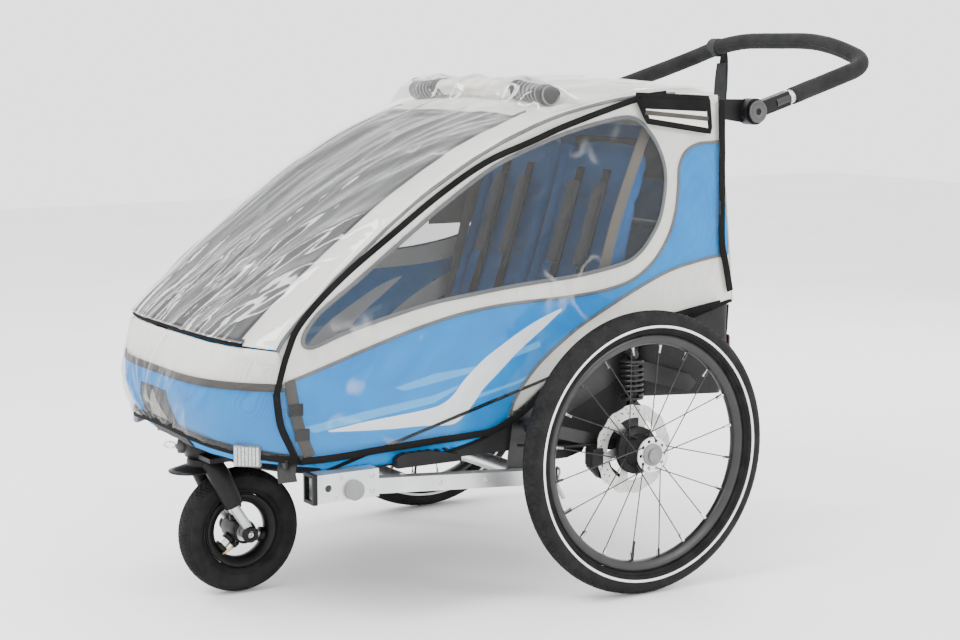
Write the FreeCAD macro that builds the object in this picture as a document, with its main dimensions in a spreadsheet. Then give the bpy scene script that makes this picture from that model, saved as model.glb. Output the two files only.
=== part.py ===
import FreeCAD, Part
import math
import os
import Sketcher

V = FreeCAD.Vector

# Frame: millimetres, +Z up, nose of the trailer toward -Y, its left side toward +X.
# The origin is on the ground under the middle of the trailer.

DIMS = {
    # cabin shape
    "cabin_half_width": 285, "cloth": 3, "nose_power": 4, "mesh_half_width": 222,
    "tub_floor_z": 262, "tub_wall": 3, "tub_half_width": 281,
    "rear_top_y": 306, "rear_top_z": 868, "rear_foot_y": 345, "rear_foot_z": 478,
    "bag_front_y": 134, "bag_floor_z": 311, "bag_rear_y": 343,
    # rolling gear
    "axle_y": 73, "axle_z": 250, "track_half": 384,
    "tyre_radius": 250, "tyre_section": 22, "tyre_seat_radius": 209.4,
    "rim_outer_radius": 209.3, "rim_inner_radius": 191, "rim_width": 25,
    "hub_shell_radius": 17, "axle_radius": 6, "hub_bore_radius": 6.05,
    "rotor_radius": 80, "rotor_thickness": 2, "rotor_x": 347, "spoke_radius": 1.0,
    "cap_radius": 13,
    "arm_pivot_y": -120, "arm_pivot_z": 306,
    "arm_tube_high": 22, "arm_tube_wide": 16,
    "shock_y": 100, "shock_low_z": 318, "shock_high_z": 402,
    "spring_radius": 17.5, "spring_wire": 3,
    # front wheel
    "caster_y": -588, "front_axle_y": -528, "front_axle_z": 111, "front_radius": 111,
    "front_section": 25, "front_rim_radius": 66,
    "fork_half_width": 42, "swivel_bore": 8.05, "swivel_pin": 8,
    # frame tubes
    "rail_x": 300, "rail_wide": 25, "rail_high": 26, "rail_wall": 2,
    "rail_front_y": -418, "rail_rear_y": -78, "rail_front_z": 236, "rail_rear_z": 211,
    "receiver_long": 113, "receiver_high": 47, "receiver_wide": 33, "receiver_wall": 2.5,
    "receiver_y": -531, "receiver_z": 243.5, "latch_radius": 16.5,
    "hitch_pin_radius": 6, "cross_radius": 14,
    "hoop_radius": 10, "roof_rail_x": 262, "fold_pivot_y": -512, "fold_pivot_z": 292,
    "upright_x": 236, "upright_pivot_y": 245, "upright_pivot_z": 342,
    # push bar
    "bar_pivot_y": 376, "bar_pivot_z": 833, "bar_slope_deg": 16.3,
    "bar_tube_radius": 11, "bar_foam_radius": 16, "bar_corner_x": 287,
    "bar_corner_y": 663, "bar_corner_z": 918, "bar_corner_radius": 62,
    "bar_middle_y": 675, "bar_middle_z": 961, "pivot_radius": 24, "pivot_cap_radius": 20,
    # seats
    "seat_width": 246, "seat_gap": 8,
}

doc = FreeCAD.newDocument("child_bicycle_trailer")
sheet = doc.addObject("Spreadsheet::Sheet", "dims")
for row, (alias, number) in enumerate(DIMS.items(), start=1):
    sheet.set("A%d" % row, alias)
    sheet.set("B%d" % row, str(number))
    sheet.setAlias("B%d" % row, alias)
doc.recompute()


def dim(name):
    return float(sheet.get(name))


NODES = []
HALF = dim("cabin_half_width")


def label(obj, name):
    """Marks a finished document object as one exported sub-part."""
    obj.Label = name
    NODES.append((name, obj))
    return obj


def number(expression):
    """Value of an arithmetic expression over the sheet's aliases."""
    result = sheet.evalExpression(expression.replace("dims.", ""))
    return float(getattr(result, "Value", result))


def bind(obj, **values):
    for prop, value in values.items():
        if isinstance(value, str):
            obj.setExpression(prop, value)
        else:
            setattr(obj, prop, value)


def spot(obj, base, axis=None):
    """Places an object; a base entry given as text is an expression."""
    turn = FreeCAD.Rotation(V(0, 0, 1), V(*axis)) if axis else FreeCAD.Rotation()
    at = [number(b) if isinstance(b, str) else b for b in base]
    obj.Placement = FreeCAD.Placement(V(*at), turn)
    for letter, value in zip("xyz", base):
        if isinstance(value, str):
            obj.setExpression("Placement.Base." + letter, value)
    return obj


def cyl(radius, height, base, axis=None):
    obj = doc.addObject("Part::Cylinder", "cyl")
    bind(obj, Radius=radius, Height=height)
    return spot(obj, base, axis)


def box(size, base):
    obj = doc.addObject("Part::Box", "box")
    bind(obj, Length=size[0], Width=size[1], Height=size[2])
    return spot(obj, base)


def ring(radius_a, radius_b, base, axis=None):
    obj = doc.addObject("Part::Torus", "torus")
    bind(obj, Radius1=radius_a, Radius2=radius_b)
    return spot(obj, base, axis)


def fuse(parts):
    obj = doc.addObject("Part::MultiFuse", "fuse")
    obj.Shapes = parts
    return obj


def cut(base, tools):
    tool = tools[0] if len(tools) == 1 else fuse(tools)
    obj = doc.addObject("Part::Cut", "cut")
    obj.Base = base
    obj.Tool = tool
    return obj


def tidy(shape):
    """Shape with needless face splits removed, where that keeps it valid."""
    merged = shape.copy().removeSplitter()
    return merged if merged.isValid() and merged.Solids else shape


def feature(shape, name="shape"):
    """Document object for a swept or free-form shape computed from the sheet."""
    obj = doc.addObject("Part::Feature", name)
    obj.Shape = tidy(shape)
    obj.Placement = FreeCAD.Placement()
    return obj


def group(shapes):
    return feature(Part.makeCompound(shapes))


def polygon_prism(points, thickness, x):
    """Plate parallel to the Y-Z plane from x to x + thickness."""
    wire = Part.makePolygon([V(x, p[0], p[1]) for p in points] + [V(x, points[0][0], points[0][1])])
    return Part.Face(wire).extrude(V(thickness, 0, 0))


def spline_prism(points, thickness, x):
    """Plate with one smooth closed outline."""
    curve = Part.BSplineCurve()
    curve.interpolate([V(x, p[0], p[1]) for p in points], PeriodicFlag=True)
    return Part.Face(Part.Wire(curve.toShape())).extrude(V(thickness, 0, 0))


def rod(points, radius, bends=()):
    """Round bar along a polyline; corners are rounded with arcs of radius bends."""
    pts = [V(*p) for p in points]
    edges = []
    last = pts[0]
    bends = list(bends) + [0] * len(pts)
    for before, corner, after, bend in zip(pts, pts[1:], pts[2:], bends):
        into = (corner - before).normalize()
        out = (after - corner).normalize()
        turn = into.getAngle(out)
        if bend <= 0 or turn < 1e-3:
            edges.append(Part.makeLine(last, corner))
            last = corner
            continue
        reach = bend * math.tan(turn / 2)
        start = corner - into * reach
        end = corner + out * reach
        centre_way = (out - into).normalize()
        middle = corner + centre_way * (bend / math.cos(turn / 2) - bend)
        edges.append(Part.makeLine(last, start))
        edges.append(Part.Arc(start, middle, end).toShape())
        last = end
    edges.append(Part.makeLine(last, pts[-1]))
    path = Part.Wire(edges)
    circle = Part.Wire(Part.makeCircle(radius, pts[0], pts[1] - pts[0]))
    return path.makePipeShell([circle], True, False)


def spline_through(points):
    curve = Part.BSplineCurve()
    curve.interpolate([V(*p) for p in points])
    return curve


def sweep(curve, radius):
    """Round bar along a smooth curve."""
    begin = curve.FirstParameter
    circle = Part.Wire(Part.makeCircle(radius, curve.value(begin), curve.tangent(begin)[0]))
    return Part.Wire(curve.toShape()).makePipeShell([circle], True, False)


def spline_rod(points, radius):
    """Round bar along one smooth curve through the points."""
    return sweep(spline_through(points), radius)


def mirrored(shape):
    return shape.mirror(V(0, 0, 0), V(1, 0, 0))


def body(name):
    return doc.addObject("PartDesign::Body", name)


def sketch_on(owner, role):
    sk = owner.newObject("Sketcher::SketchObject", "sketch")
    plane = [f for f in owner.Origin.OriginFeatures if f.Role == role][0]
    sk.AttachmentSupport = (plane, [""])
    sk.MapMode = "FlatFace"
    return sk


def outline(sk, points):
    """Closed polyline whose corners are bound to expressions (text) or numbers."""
    flat = [[number(c) if isinstance(c, str) else float(c) for c in p] for p in points]
    first = sk.GeometryCount
    total = len(points)
    for k in range(total):
        a, b = flat[k], flat[(k + 1) % total]
        sk.addGeometry(Part.LineSegment(V(a[0], a[1], 0), V(b[0], b[1], 0)), False)
    for k in range(total):
        nxt = first + (k + 1) % total
        sk.addConstraint(Sketcher.Constraint("Coincident", first + k, 2, nxt, 1))
    for k, pair in enumerate(points):
        for kind, value, figure in zip(("DistanceX", "DistanceY"), pair, flat[k]):
            index = sk.addConstraint(Sketcher.Constraint(kind, -1, 1, first + k, 1, figure))
            if isinstance(value, str):
                sk.setExpression("Constraints[%d]" % index, value)


def circle_in(sk, centre, radius):
    size = number(radius) if isinstance(radius, str) else float(radius)
    at = [number(c) if isinstance(c, str) else float(c) for c in centre]
    geo = sk.addGeometry(Part.Circle(V(at[0], at[1], 0), V(0, 0, 1), size), False)
    index = sk.addConstraint(Sketcher.Constraint("Radius", geo, size))
    if isinstance(radius, str):
        sk.setExpression("Constraints[%d]" % index, radius)
    for kind, value, figure in zip(("DistanceX", "DistanceY"), centre, at):
        if abs(figure) < 1e-9:
            pair = (-1, 1, geo, 3, 0.0)
        else:
            pair = (-1, 1, geo, 3, figure)
        index = sk.addConstraint(Sketcher.Constraint(kind, *pair))
        if isinstance(value, str):
            sk.setExpression("Constraints[%d]" % index, value)
    return geo


def pad(owner, sk, length, reverse=False, middle=False):
    solid = owner.newObject("PartDesign::Pad", "pad")
    solid.Profile = sk
    bind(solid, Length=length)
    solid.Reversed = reverse
    solid.Midplane = middle
    doc.recompute()
    return solid


def pocket_through(owner, sk):
    before = owner.Shape.Volume
    hole = owner.newObject("PartDesign::Pocket", "pocket")
    hole.Profile = sk
    hole.Type = 1
    hole.Midplane = True
    doc.recompute()
    if owner.Shape.Volume > before - 0.5:
        raise RuntimeError("pocket removed nothing in " + owner.Label)
    return hole


def revolved(name, points, at, axis=(1, 0, 0)):
    """Body turned about its own X axis from an X-Y outline, moved to a place."""
    owner = body(name)
    sk = sketch_on(owner, "XY_Plane")
    outline(sk, points)
    doc.recompute()
    turn = owner.newObject("PartDesign::Revolution", "revolution")
    turn.Profile = sk
    turn.ReferenceAxis = (sk, ["H_Axis"])
    turn.Angle = 360
    doc.recompute()
    spot(owner, at)
    return owner


# ---------------------------------------------------------------- cabin skin

# Side edge of the skin as (y, z, forward bulge, upward bulge) at the middle.
NOSE = [
    (-500, 263, -98, 0), (-530, 285, -110, 0), (-552, 330, -116, 0),
    (-563, 375, -116, 0), (-571, 430, -98, 3), (-585, 468, -62, 6),
]
TOP = [
    (-585, 472, -60, 6), (-569, 495, -46, 11), (-524, 539, -30, 15), (-480, 582, -22, 16),
    (-423, 629, -15, 16), (-355, 682, -10, 16), (-305, 716, -8, 16), (-207, 773, -6, 15),
    (-128, 808, -4, 13), (-47, 837, -2, 12), (47, 858, 0, 12), (120, 868, 0, 11),
    (200, 872, 0, 10), (290, 870, 0, 8),
]


def rear_line(z):
    """y of the cabin's rear plane at height z."""
    y_top, z_top = dim("rear_top_y"), dim("rear_top_z")
    y_low, z_low = dim("rear_foot_y"), dim("rear_foot_z")
    return y_top + (z_top - z) * (y_low - y_top) / (z_top - z_low)


def station(table, u):
    """Smooth point of a table at u from 0 to 1."""
    last = len(table) - 1
    k = min(int(u * last), last - 1)
    t = u * last - k
    pts = [table[max(0, min(last, k + j))] for j in (-1, 0, 1, 2)]
    out = []
    for a, b, c, d in zip(*pts):
        m0, m1 = (c - a) / 2.0, (d - b) / 2.0
        out.append((2 * t ** 3 - 3 * t ** 2 + 1) * b + (t ** 3 - 2 * t ** 2 + t) * m0
                   + (-2 * t ** 3 + 3 * t ** 2) * c + (t ** 3 - t ** 2) * m1)
    return out


def skin_point(table, u, x, off):
    """Point of the skin at station u and width x, moved outward by off."""
    e = 1e-3
    y, z, by, bz = station(table, u)
    ya, za = station(table, max(u - e, 0))[:2]
    yb, zb = station(table, min(u + e, 1))[:2]
    size = math.hypot(yb - ya, zb - za)
    ny, nz = -(zb - za) / size, (yb - ya) / size
    share = 1 - min(abs(x) / HALF, 1.0) ** dim("nose_power")
    return V(x, y + by * share + ny * off, z + bz * share + nz * off)


def grid_face(rows):
    surface = Part.BSplineSurface()
    surface.interpolate(rows)
    return surface


def grid_solid(outer, inner):
    """Closed solid between two grids of points of the same size."""
    top, low = grid_face(outer), grid_face(inner)
    faces = [top.toShape(), low.toShape()]
    u0, u1, v0, v1 = top.bounds()
    for fixed, value in (("u", u0), ("u", u1), ("v", v0), ("v", v1)):
        pick = (lambda s: s.uIso(value)) if fixed == "u" else (lambda s: s.vIso(value))
        faces.append(Part.makeRuledSurface(pick(top).toShape(), pick(low).toShape()))
    shell = Part.makeShell(faces)
    shell.sewShape()
    solid = Part.makeSolid(shell)
    if solid.Volume < 0:
        solid.reverse()
    return solid


def skin(table, u0, u1, x0, x1, low, high, rows=15, cols=11):
    """Sheet of the skin between stations u0..u1 and widths x0..x1."""
    def grid(off):
        us = [u0 + (u1 - u0) * k / (rows - 1) for k in range(rows)]
        xs = [x0 + (x1 - x0) * k / (cols - 1) for k in range(cols)]
        return [[skin_point(table, u, x, off) for x in xs] for u in us]
    return grid_solid(grid(high), grid(low))


def build_cabin():
    cloth = dim("cloth")
    wide = HALF - cloth - 0.8
    nose = skin(NOSE, 0.10, 1, -wide, wide, -cloth, 0)
    label(feature(nose), "nose_panel")
    # roof with the window opening left by a straight cut
    roof = skin(TOP, 0, 1, -wide, wide, -cloth, 0, rows=21)
    half = dim("mesh_half_width")
    hole = Part.makeBox(2 * half, 640, 700, V(-half, -660, 300))
    mesh = skin(TOP, 0.02, 0.69, -half + 1, half - 1, -cloth + 0.5, -0.5, rows=19)
    label(feature(mesh), "front_mesh")
    side = polygon_prism(SIDE_OUTLINE, cloth, HALF - cloth)
    window = spline_prism(WINDOW_OUTLINE, cloth + 2, HALF - cloth - 1)
    pane = spline_prism(shrink(WINDOW_OUTLINE, 0.8), 1.2, HALF - cloth + 0.9)
    panel = side.cut(window).cut(polygon_prism(BRACKET_OUTLINE, 3.8, 281.3))
    label(feature(panel), "side_panel_left")
    label(feature(mirrored(panel)), "side_panel_right")
    label(group([pane, mirrored(pane)]), "side_windows")
    # rear panel hangs from the roof edge to the luggage bag
    z_hi, z_lo = dim("rear_top_z") - 9, dim("rear_foot_z") + 8
    back = [(rear_line(z_hi), z_hi), (rear_line(z_lo), z_lo),
            (rear_line(z_lo) - cloth, z_lo), (rear_line(z_hi) - cloth, z_hi)]
    rear = polygon_prism(back, 2 * wide, -wide)
    for x in (-300, 264):
        rear = rear.cut(Part.makeBox(36, 80, 60, V(x, 280, 808)))
    label(group([roof.cut(hole), rear]), "roof_panel")
    roll = spline_rod([(-246, -30, 867.5), (-120, -30, 875.5), (0, -30, 878.5),
                       (120, -30, 875.5), (246, -30, 867.5)], 11.5)
    label(feature(roll), "rolled_cover")


def shrink(points, gap):
    """Outline moved inward by about gap, point by point toward the middle."""
    cy = sum(p[0] for p in points) / len(points)
    cz = sum(p[1] for p in points) / len(points)
    out = []
    for y, z in points:
        size = math.hypot(y - cy, z - cz)
        out.append((y + (cy - y) * gap / size, z + (cz - z) * gap / size))
    return out


WINDOW_OUTLINE = [
    (-536, 470), (-489, 508), (-396, 588), (-282, 682), (-165, 750), (-43, 805), (40, 824),
    (108, 822), (152, 796), (182, 742), (187, 688), (162, 627), (115, 585), (43, 566),
    (-62, 555), (-164, 543), (-302, 517), (-434, 484),
]
BRACKET_OUTLINE = [
    (-150, 224), (-84, 200), (-62, 200), (-52, 252), (-70, 290), (-40, 306), (60, 352), (90,
    372), (245, 326), (260, 342), (245, 358), (128, 396), (118, 422), (84,
    424), (60, 400), (-60, 344), (-136, 328)
]
SIDE_OUTLINE = (
    [(-500, 268)] + [(p[0] + 3, p[1]) for p in NOSE[1:]]
    + [(p[0] + 2, p[1] - 4) for p in TOP[1:-1]]
    + [(300, 864), (342, 484), (300, 476), (200, 455), (60, 420), (-40, 385), (-120, 330),
       (-200, 285), (-325, 268)]
)


def build_tub():
    wall = dim("tub_wall")
    half = dim("tub_half_width") - 1
    floor_z = dim("tub_floor_z")
    edge = [(x, skin_point(NOSE, 0.02, x, 0).y + 8) for x in range(-280, 281, 40)]
    pts = [V(x, y, floor_z - wall) for x, y in edge]
    curve = Part.BSplineCurve()
    curve.interpolate(pts)
    rear = dim("bag_front_y") - 3
    sides = Part.makePolygon([pts[-1], V(half, rear, floor_z - wall),
                              V(-half, rear, floor_z - wall), pts[0]])
    floor = Part.Face(Part.Wire([curve.toShape()] + sides.Edges)).extrude(V(0, 0, wall))
    fold_y, fold_z = dim("fold_pivot_y"), dim("fold_pivot_z")
    flank = [(-497, floor_z), (rear, floor_z), (rear, 470), (90, 470), (-60, 400),
             (-160, 330), (-300, 290), (fold_y, fold_z + 12), (fold_y - 10, fold_z + 8),
             (fold_y - 10, fold_z - 8)]
    left = polygon_prism(flank, wall, half - wall)
    pin = Part.makeCylinder(6, half - 250, V(250, fold_y, fold_z), V(1, 0, 0))
    left = left.fuse(pin)
    tub = floor.fuse([left, mirrored(left)])
    label(feature(tub), "floor_tub")


def build_bag():
    wall = dim("cloth")
    half = dim("tub_half_width")
    z_lo, z_hi = dim("bag_floor_z"), dim("rear_foot_z") + 2
    y0, y1 = dim("bag_front_y"), dim("bag_rear_y")
    outer = polygon_prism([(y0, z_lo + 14), (y1, z_lo), (y1, z_hi), (y0, z_hi - 14)],
                          2 * half, -half)
    inner = polygon_prism([(y0 + wall, z_lo + 14 + wall), (y1 - wall, z_lo + wall),
                           (y1 - wall, z_hi + 30), (y0 + wall, z_hi + 30)],
                          2 * (half - wall), -half + wall)
    spot_y, spot_z = dim("upright_pivot_y"), dim("upright_pivot_z")
    hole = Part.makeCylinder(8, 2 * half + 20, V(-half - 10, spot_y, spot_z), V(1, 0, 0))
    label(feature(outer.cut(inner).cut(hole)), "luggage_bag")


def build_rain_cover():
    """Clear outer skin: front, nose and both flanks, open behind and below."""
    wide = HALF + 3
    top = skin(TOP, 0.0, 0.985, -wide, wide, 5.0, 6.2, rows=21)
    nose = skin(NOSE, 0.30, 1.0, -wide, wide, 5.0, 6.2, rows=13)
    # the roll on the roof lifts the cover a little
    lower = [(-520, 300), (-360, 300), (-220, 310), (-105, 362), (0, 440), (150, 480), (300, 500)]
    upper = [(p[0] - 3, p[1] - 1) for p in reversed(TOP[:-1])]
    front = [(p[0] - 2, p[1]) for p in reversed(NOSE[2:])]
    flank = polygon_prism(lower + [(296, 862)] + upper + front, 1.2, HALF + 2)
    label(group([top, nose, flank, mirrored(flank)]), "rain_cover")


# ---------------------------------------------------------------- seats

def build_seats():
    width = dim("seat_width")
    gap = dim("seat_gap")
    cushions, backs, belts = [], [], []
    for sign in (1, -1):
        x0 = gap / 2 if sign > 0 else -gap / 2 - width
        cushion = [(-150, 335), (-150, 372), (-140, 382), (55, 392), (62, 385), (62, 335)]
        back = [(66, 394), (40, 400), (120, 640), (160, 770), (186, 764), (150, 640), (96, 420)]
        cushions.append(polygon_prism(cushion, width, x0))
        backs.append(polygon_prism(back, width, x0))
        centre = sign * (gap / 2 + width / 2)
        for side in (-42, 42):
            line = [(38.8, 404), (118, 643), (146, 730), (142.5, 731), (114.5, 644), (35, 406)]
            belts.append(polygon_prism(line, 24, centre + side - 12))
        belts.append(polygon_prism([(-60, 388.2), (30, 392), (30, 396), (-60, 392.2)],
                                   24, centre - 12))
        buckle = Part.makeBox(44, 9, 50, V(centre - 22, 34.8, 470))
        buckle.rotate(V(centre, 40, 470), V(1, 0, 0), -18.4)
        belts.append(buckle)
    label(group(cushions), "seat_cushions")
    label(group(backs), "seat_backs")
    label(group(belts), "harnesses")
    deck = polygon_prism([(-146, 318), (100, 318), (100, 332), (-146, 332)], 500, -250)
    legs = [Part.makeBox(20, 20, 56, V(x, y, 262.2)) for x in (-230, 210) for y in (-130, 70)]
    label(feature(deck.fuse(legs)), "seat_deck")


# ---------------------------------------------------------------- frame

def frame_rail(x):
    """Hollow sloping side tube with its rear end closed by the bracket."""
    y0, y1 = dim("rail_front_y") - 2, dim("rail_rear_y")
    z0, z1 = dim("rail_front_z"), dim("rail_rear_z")
    high, wide, wall = dim("rail_high"), dim("rail_wide"), dim("rail_wall")
    def bar(h, w):
        pts = [(y0, z0 - h / 2), (y1, z1 - h / 2), (y1, z1 + h / 2), (y0, z0 + h / 2)]
        return polygon_prism(pts, w, x - w / 2)
    return bar(high, wide).cut(bar(high - 2 * wall, wide - 2 * wall))


def build_frame():
    x = dim("rail_x")
    label(feature(frame_rail(x)), "side_rail_left")
    label(feature(frame_rail(-x)), "side_rail_right")
    reach = "dims.rail_x - dims.rail_wide / 2 - 0.2"
    tubes = []
    for y, z in (("dims.rail_front_y + 60", 232), ("-110", 214)):
        outer = cyl("dims.cross_radius", "2 * (%s)" % reach, ["-(%s)" % reach, y, z], (1, 0, 0))
        bore = cyl("dims.cross_radius - 2", 640, [-320, y, z], (1, 0, 0))
        tubes.append(cut(outer, [bore]))
    label(fuse(tubes), "cross_tubes")
    pin_y, pin_z = dim("arm_pivot_y"), dim("arm_pivot_z")
    up_y, up_z = dim("upright_pivot_y"), dim("upright_pivot_z")
    plate = polygon_prism(BRACKET_OUTLINE, 3.2, 281.6)
    pins = [
        (6, 281.6, 330, pin_y, pin_z),
        (5, 284.6, 316, dim("shock_y"), dim("shock_high_z") + 8),
        (4, 284.6, 313, -72, 252),
        (6, 227, 283, up_y, up_z),
    ]
    parts = [Part.makeCylinder(r, b - a, V(a, y, z), V(1, 0, 0)) for r, a, b, y, z in pins]
    lip = Part.makeBox(27, 16, 26, V(284.6, dim("rail_rear_y") + 0.2, 198))
    left = plate.fuse(parts + [lip])
    left = left.cut(Part.makeCylinder(14.1, 10, V(278, -110, 214), V(1, 0, 0)))
    label(feature(left), "arm_bracket_left")
    label(feature(mirrored(left)), "arm_bracket_right")


def build_receiver():
    """Drawbar socket: square tube with a cross bore for the securing pin."""
    owner = body("receiver_body")
    sk = sketch_on(owner, "XZ_Plane")
    w, h = "dims.receiver_wide / 2", "dims.receiver_high / 2"
    iw, ih = w + " - dims.receiver_wall", h + " - dims.receiver_wall"
    for a, b in ((w, h), (iw, ih)):
        outline(sk, [("-(%s)" % a, "-(%s)" % b), (a, "-(%s)" % b), (a, b), ("-(%s)" % a, b)])
    doc.recompute()
    pad(owner, sk, "dims.receiver_long", reverse=True)
    holes = sketch_on(owner, "YZ_Plane")
    circle_in(holes, (20, 0), "dims.hitch_pin_radius")
    circle_in(holes, (66, -7.5), "dims.latch_radius + 0.3")
    doc.recompute()
    pocket_through(owner, holes)
    spot(owner, ["dims.rail_x", "dims.receiver_y", "dims.receiver_z"])
    label(owner, "drawbar_receiver")
    outer = box(["dims.receiver_wide + 3", 8, "dims.receiver_high + 3"],
                ["dims.rail_x - (dims.receiver_wide + 3) / 2", "dims.receiver_y - 8.1",
                 "dims.receiver_z - (dims.receiver_high + 3) / 2"])
    inner = box(["dims.receiver_wide - 8", 20, "dims.receiver_high - 8"],
                ["dims.rail_x - (dims.receiver_wide - 8) / 2", "dims.receiver_y - 15",
                 "dims.receiver_z - (dims.receiver_high - 8) / 2"])
    label(cut(outer, [inner]), "receiver_mouth")
    at = ["dims.receiver_y + 66", "dims.receiver_z - 7.5"]
    cap = cyl("dims.latch_radius", 9, ["dims.rail_x + dims.receiver_wide / 2 - 1.5"] + at,
              (1, 0, 0))
    guide = cyl(6, 20, ["dims.rail_x - 5"] + at, (1, 0, 0))
    label(fuse([cap, guide]), "drawbar_button")


# ---------------------------------------------------------------- rear wheels

def spoke_set():
    """Twenty spokes with nipples between the two hub flanges and the rim."""
    rods = []
    for flange, shift in ((19.5, 0), (-17.5, 36)):
        for k in range(10):
            even = k % 2 == 0
            a = math.radians(36 * k + (shift if shift == 0 else 0) + shift)
            b = a + math.radians(45 if even else -45)
            x0 = flange + (2.7 if even else -2.7)
            x1 = 2.5 if flange > 0 else -2.5
            start = V(x0, 25 * math.cos(a), 25 * math.sin(a))
            end = V(x1, 190.6 * math.cos(b), 190.6 * math.sin(b))
            way = (end - start).normalize()
            rods.append(Part.makeCylinder(dim("spoke_radius"), start.distanceToPoint(end),
                                          start, way).fuse(
                Part.makeCylinder(2.0, 13, end - way * 13.3, way)))
    return rods


def build_rotor(word, x):
    owner = body("rotor_body_" + word)
    sk = sketch_on(owner, "YZ_Plane")
    circle_in(sk, (0, 0), "dims.rotor_radius")
    circle_in(sk, (0, 0), 17.2)
    doc.recompute()
    pad(owner, sk, "dims.rotor_thickness", middle=True)
    before = owner.Shape.Volume
    gaps = sketch_on(owner, "YZ_Plane")
    arc = [(34, -13), (48, -20), (59, -19), (62, 0), (60, 12), (48, 8), (34, 2)]
    outline(gaps, arc)
    doc.recompute()
    hole = owner.newObject("PartDesign::Pocket", "window")
    hole.Profile = gaps
    hole.Type = 1
    hole.Midplane = True
    doc.recompute()
    pattern = owner.newObject("PartDesign::PolarPattern", "windows")
    pattern.Originals = [hole]
    pattern.Axis = (gaps, ["N_Axis"])
    pattern.Angle = 360
    pattern.Occurrences = 6
    owner.Tip = pattern
    doc.recompute()
    dots = sketch_on(owner, "YZ_Plane")
    circle_in(dots, (68, 0), 2.4)
    circle_in(dots, (73, 9.6), 2.0)
    doc.recompute()
    small = owner.newObject("PartDesign::Pocket", "vent")
    small.Profile = dots
    small.Type = 1
    small.Midplane = True
    doc.recompute()
    vents = owner.newObject("PartDesign::PolarPattern", "vents")
    vents.Originals = [small]
    vents.Axis = (dots, ["N_Axis"])
    vents.Angle = 360
    vents.Occurrences = 18
    owner.Tip = vents
    doc.recompute()
    if owner.Shape.Volume > before - 1000:
        raise RuntimeError("rotor windows are missing")
    spot(owner, [x, "dims.axle_y", "dims.axle_z"])
    label(owner, "rotor_" + word)


def hub_outline(sign):
    """X-radius outline of the hub, outer face toward +X when sign is 1."""
    r = "dims.hub_bore_radius"
    shell = "dims.hub_shell_radius"
    raw = [(-35.5, r), (-35.5, 17), (-33, 17), (-33, 42), (-21.4, 42), (-21.4, 24), (-18.4, 24),
           (-18.4, 28.5), (-16.6, 28.5), (-16.6, shell), (18.6, shell), (18.6, 29), (20.4, 29),
           (20.4, 16), (25, 15), (25, r)]
    return [(sign * x, y) for x, y in raw]


def build_rear_wheel(sign, word):
    x = sign * dim("track_half")
    way = (1, 0, 0)
    side = "dims.track_half" if sign > 0 else "-dims.track_half"
    at = [side, "dims.axle_y", "dims.axle_z"]
    tyre = ring("dims.tyre_radius - dims.tyre_section", "dims.tyre_section", at, way)
    seat = cyl("dims.tyre_seat_radius", 60, [side + " - 30", at[1], at[2]], way)
    label(cut(tyre, [seat]), "tyre_" + word)
    r0, r1 = "dims.rim_outer_radius", "dims.rim_inner_radius"
    w = "dims.rim_width / 2"
    rim = revolved("rim_body_" + word, [
        ("-(%s)" % w, r0), ("-(%s)" % w, r1 + " + 5"), ("-(%s) + 5" % w, r1),
        (w + " - 5", r1), (w, r1 + " + 5"), (w, r0), (w + " - 2.5", r0),
        (w + " - 2.5", r1 + " + 9"), ("-(%s) + 2.5" % w, r1 + " + 9"),
        ("-(%s) + 2.5" % w, r0)], at)
    label(rim, "rim_" + word)
    centre = V(x, dim("axle_y"), dim("axle_z"))
    spokes = []
    for item in spoke_set():
        if sign < 0:
            item = item.mirror(V(0, 0, 0), V(1, 0, 0))
        item.translate(centre)
        spokes.append(item)
    label(group(spokes), "spokes_" + word)
    hub = revolved("hub_body_" + word, hub_outline(sign), at)
    label(hub, "hub_" + word)
    build_rotor(word, "dims.rotor_x" if sign > 0 else "-dims.rotor_x")
    face = dim("track_half") + 25
    cap = Part.makeCylinder(dim("cap_radius"), 3, V(face + 3.2, centre.y, centre.z), V(1, 0, 0))
    stem = Part.makeCylinder(3.5, 14, V(face - 9, centre.y, centre.z), V(1, 0, 0))
    button = cap.fuse(stem)
    label(feature(button if sign > 0 else mirrored(button)), "axle_button_" + word)


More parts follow.
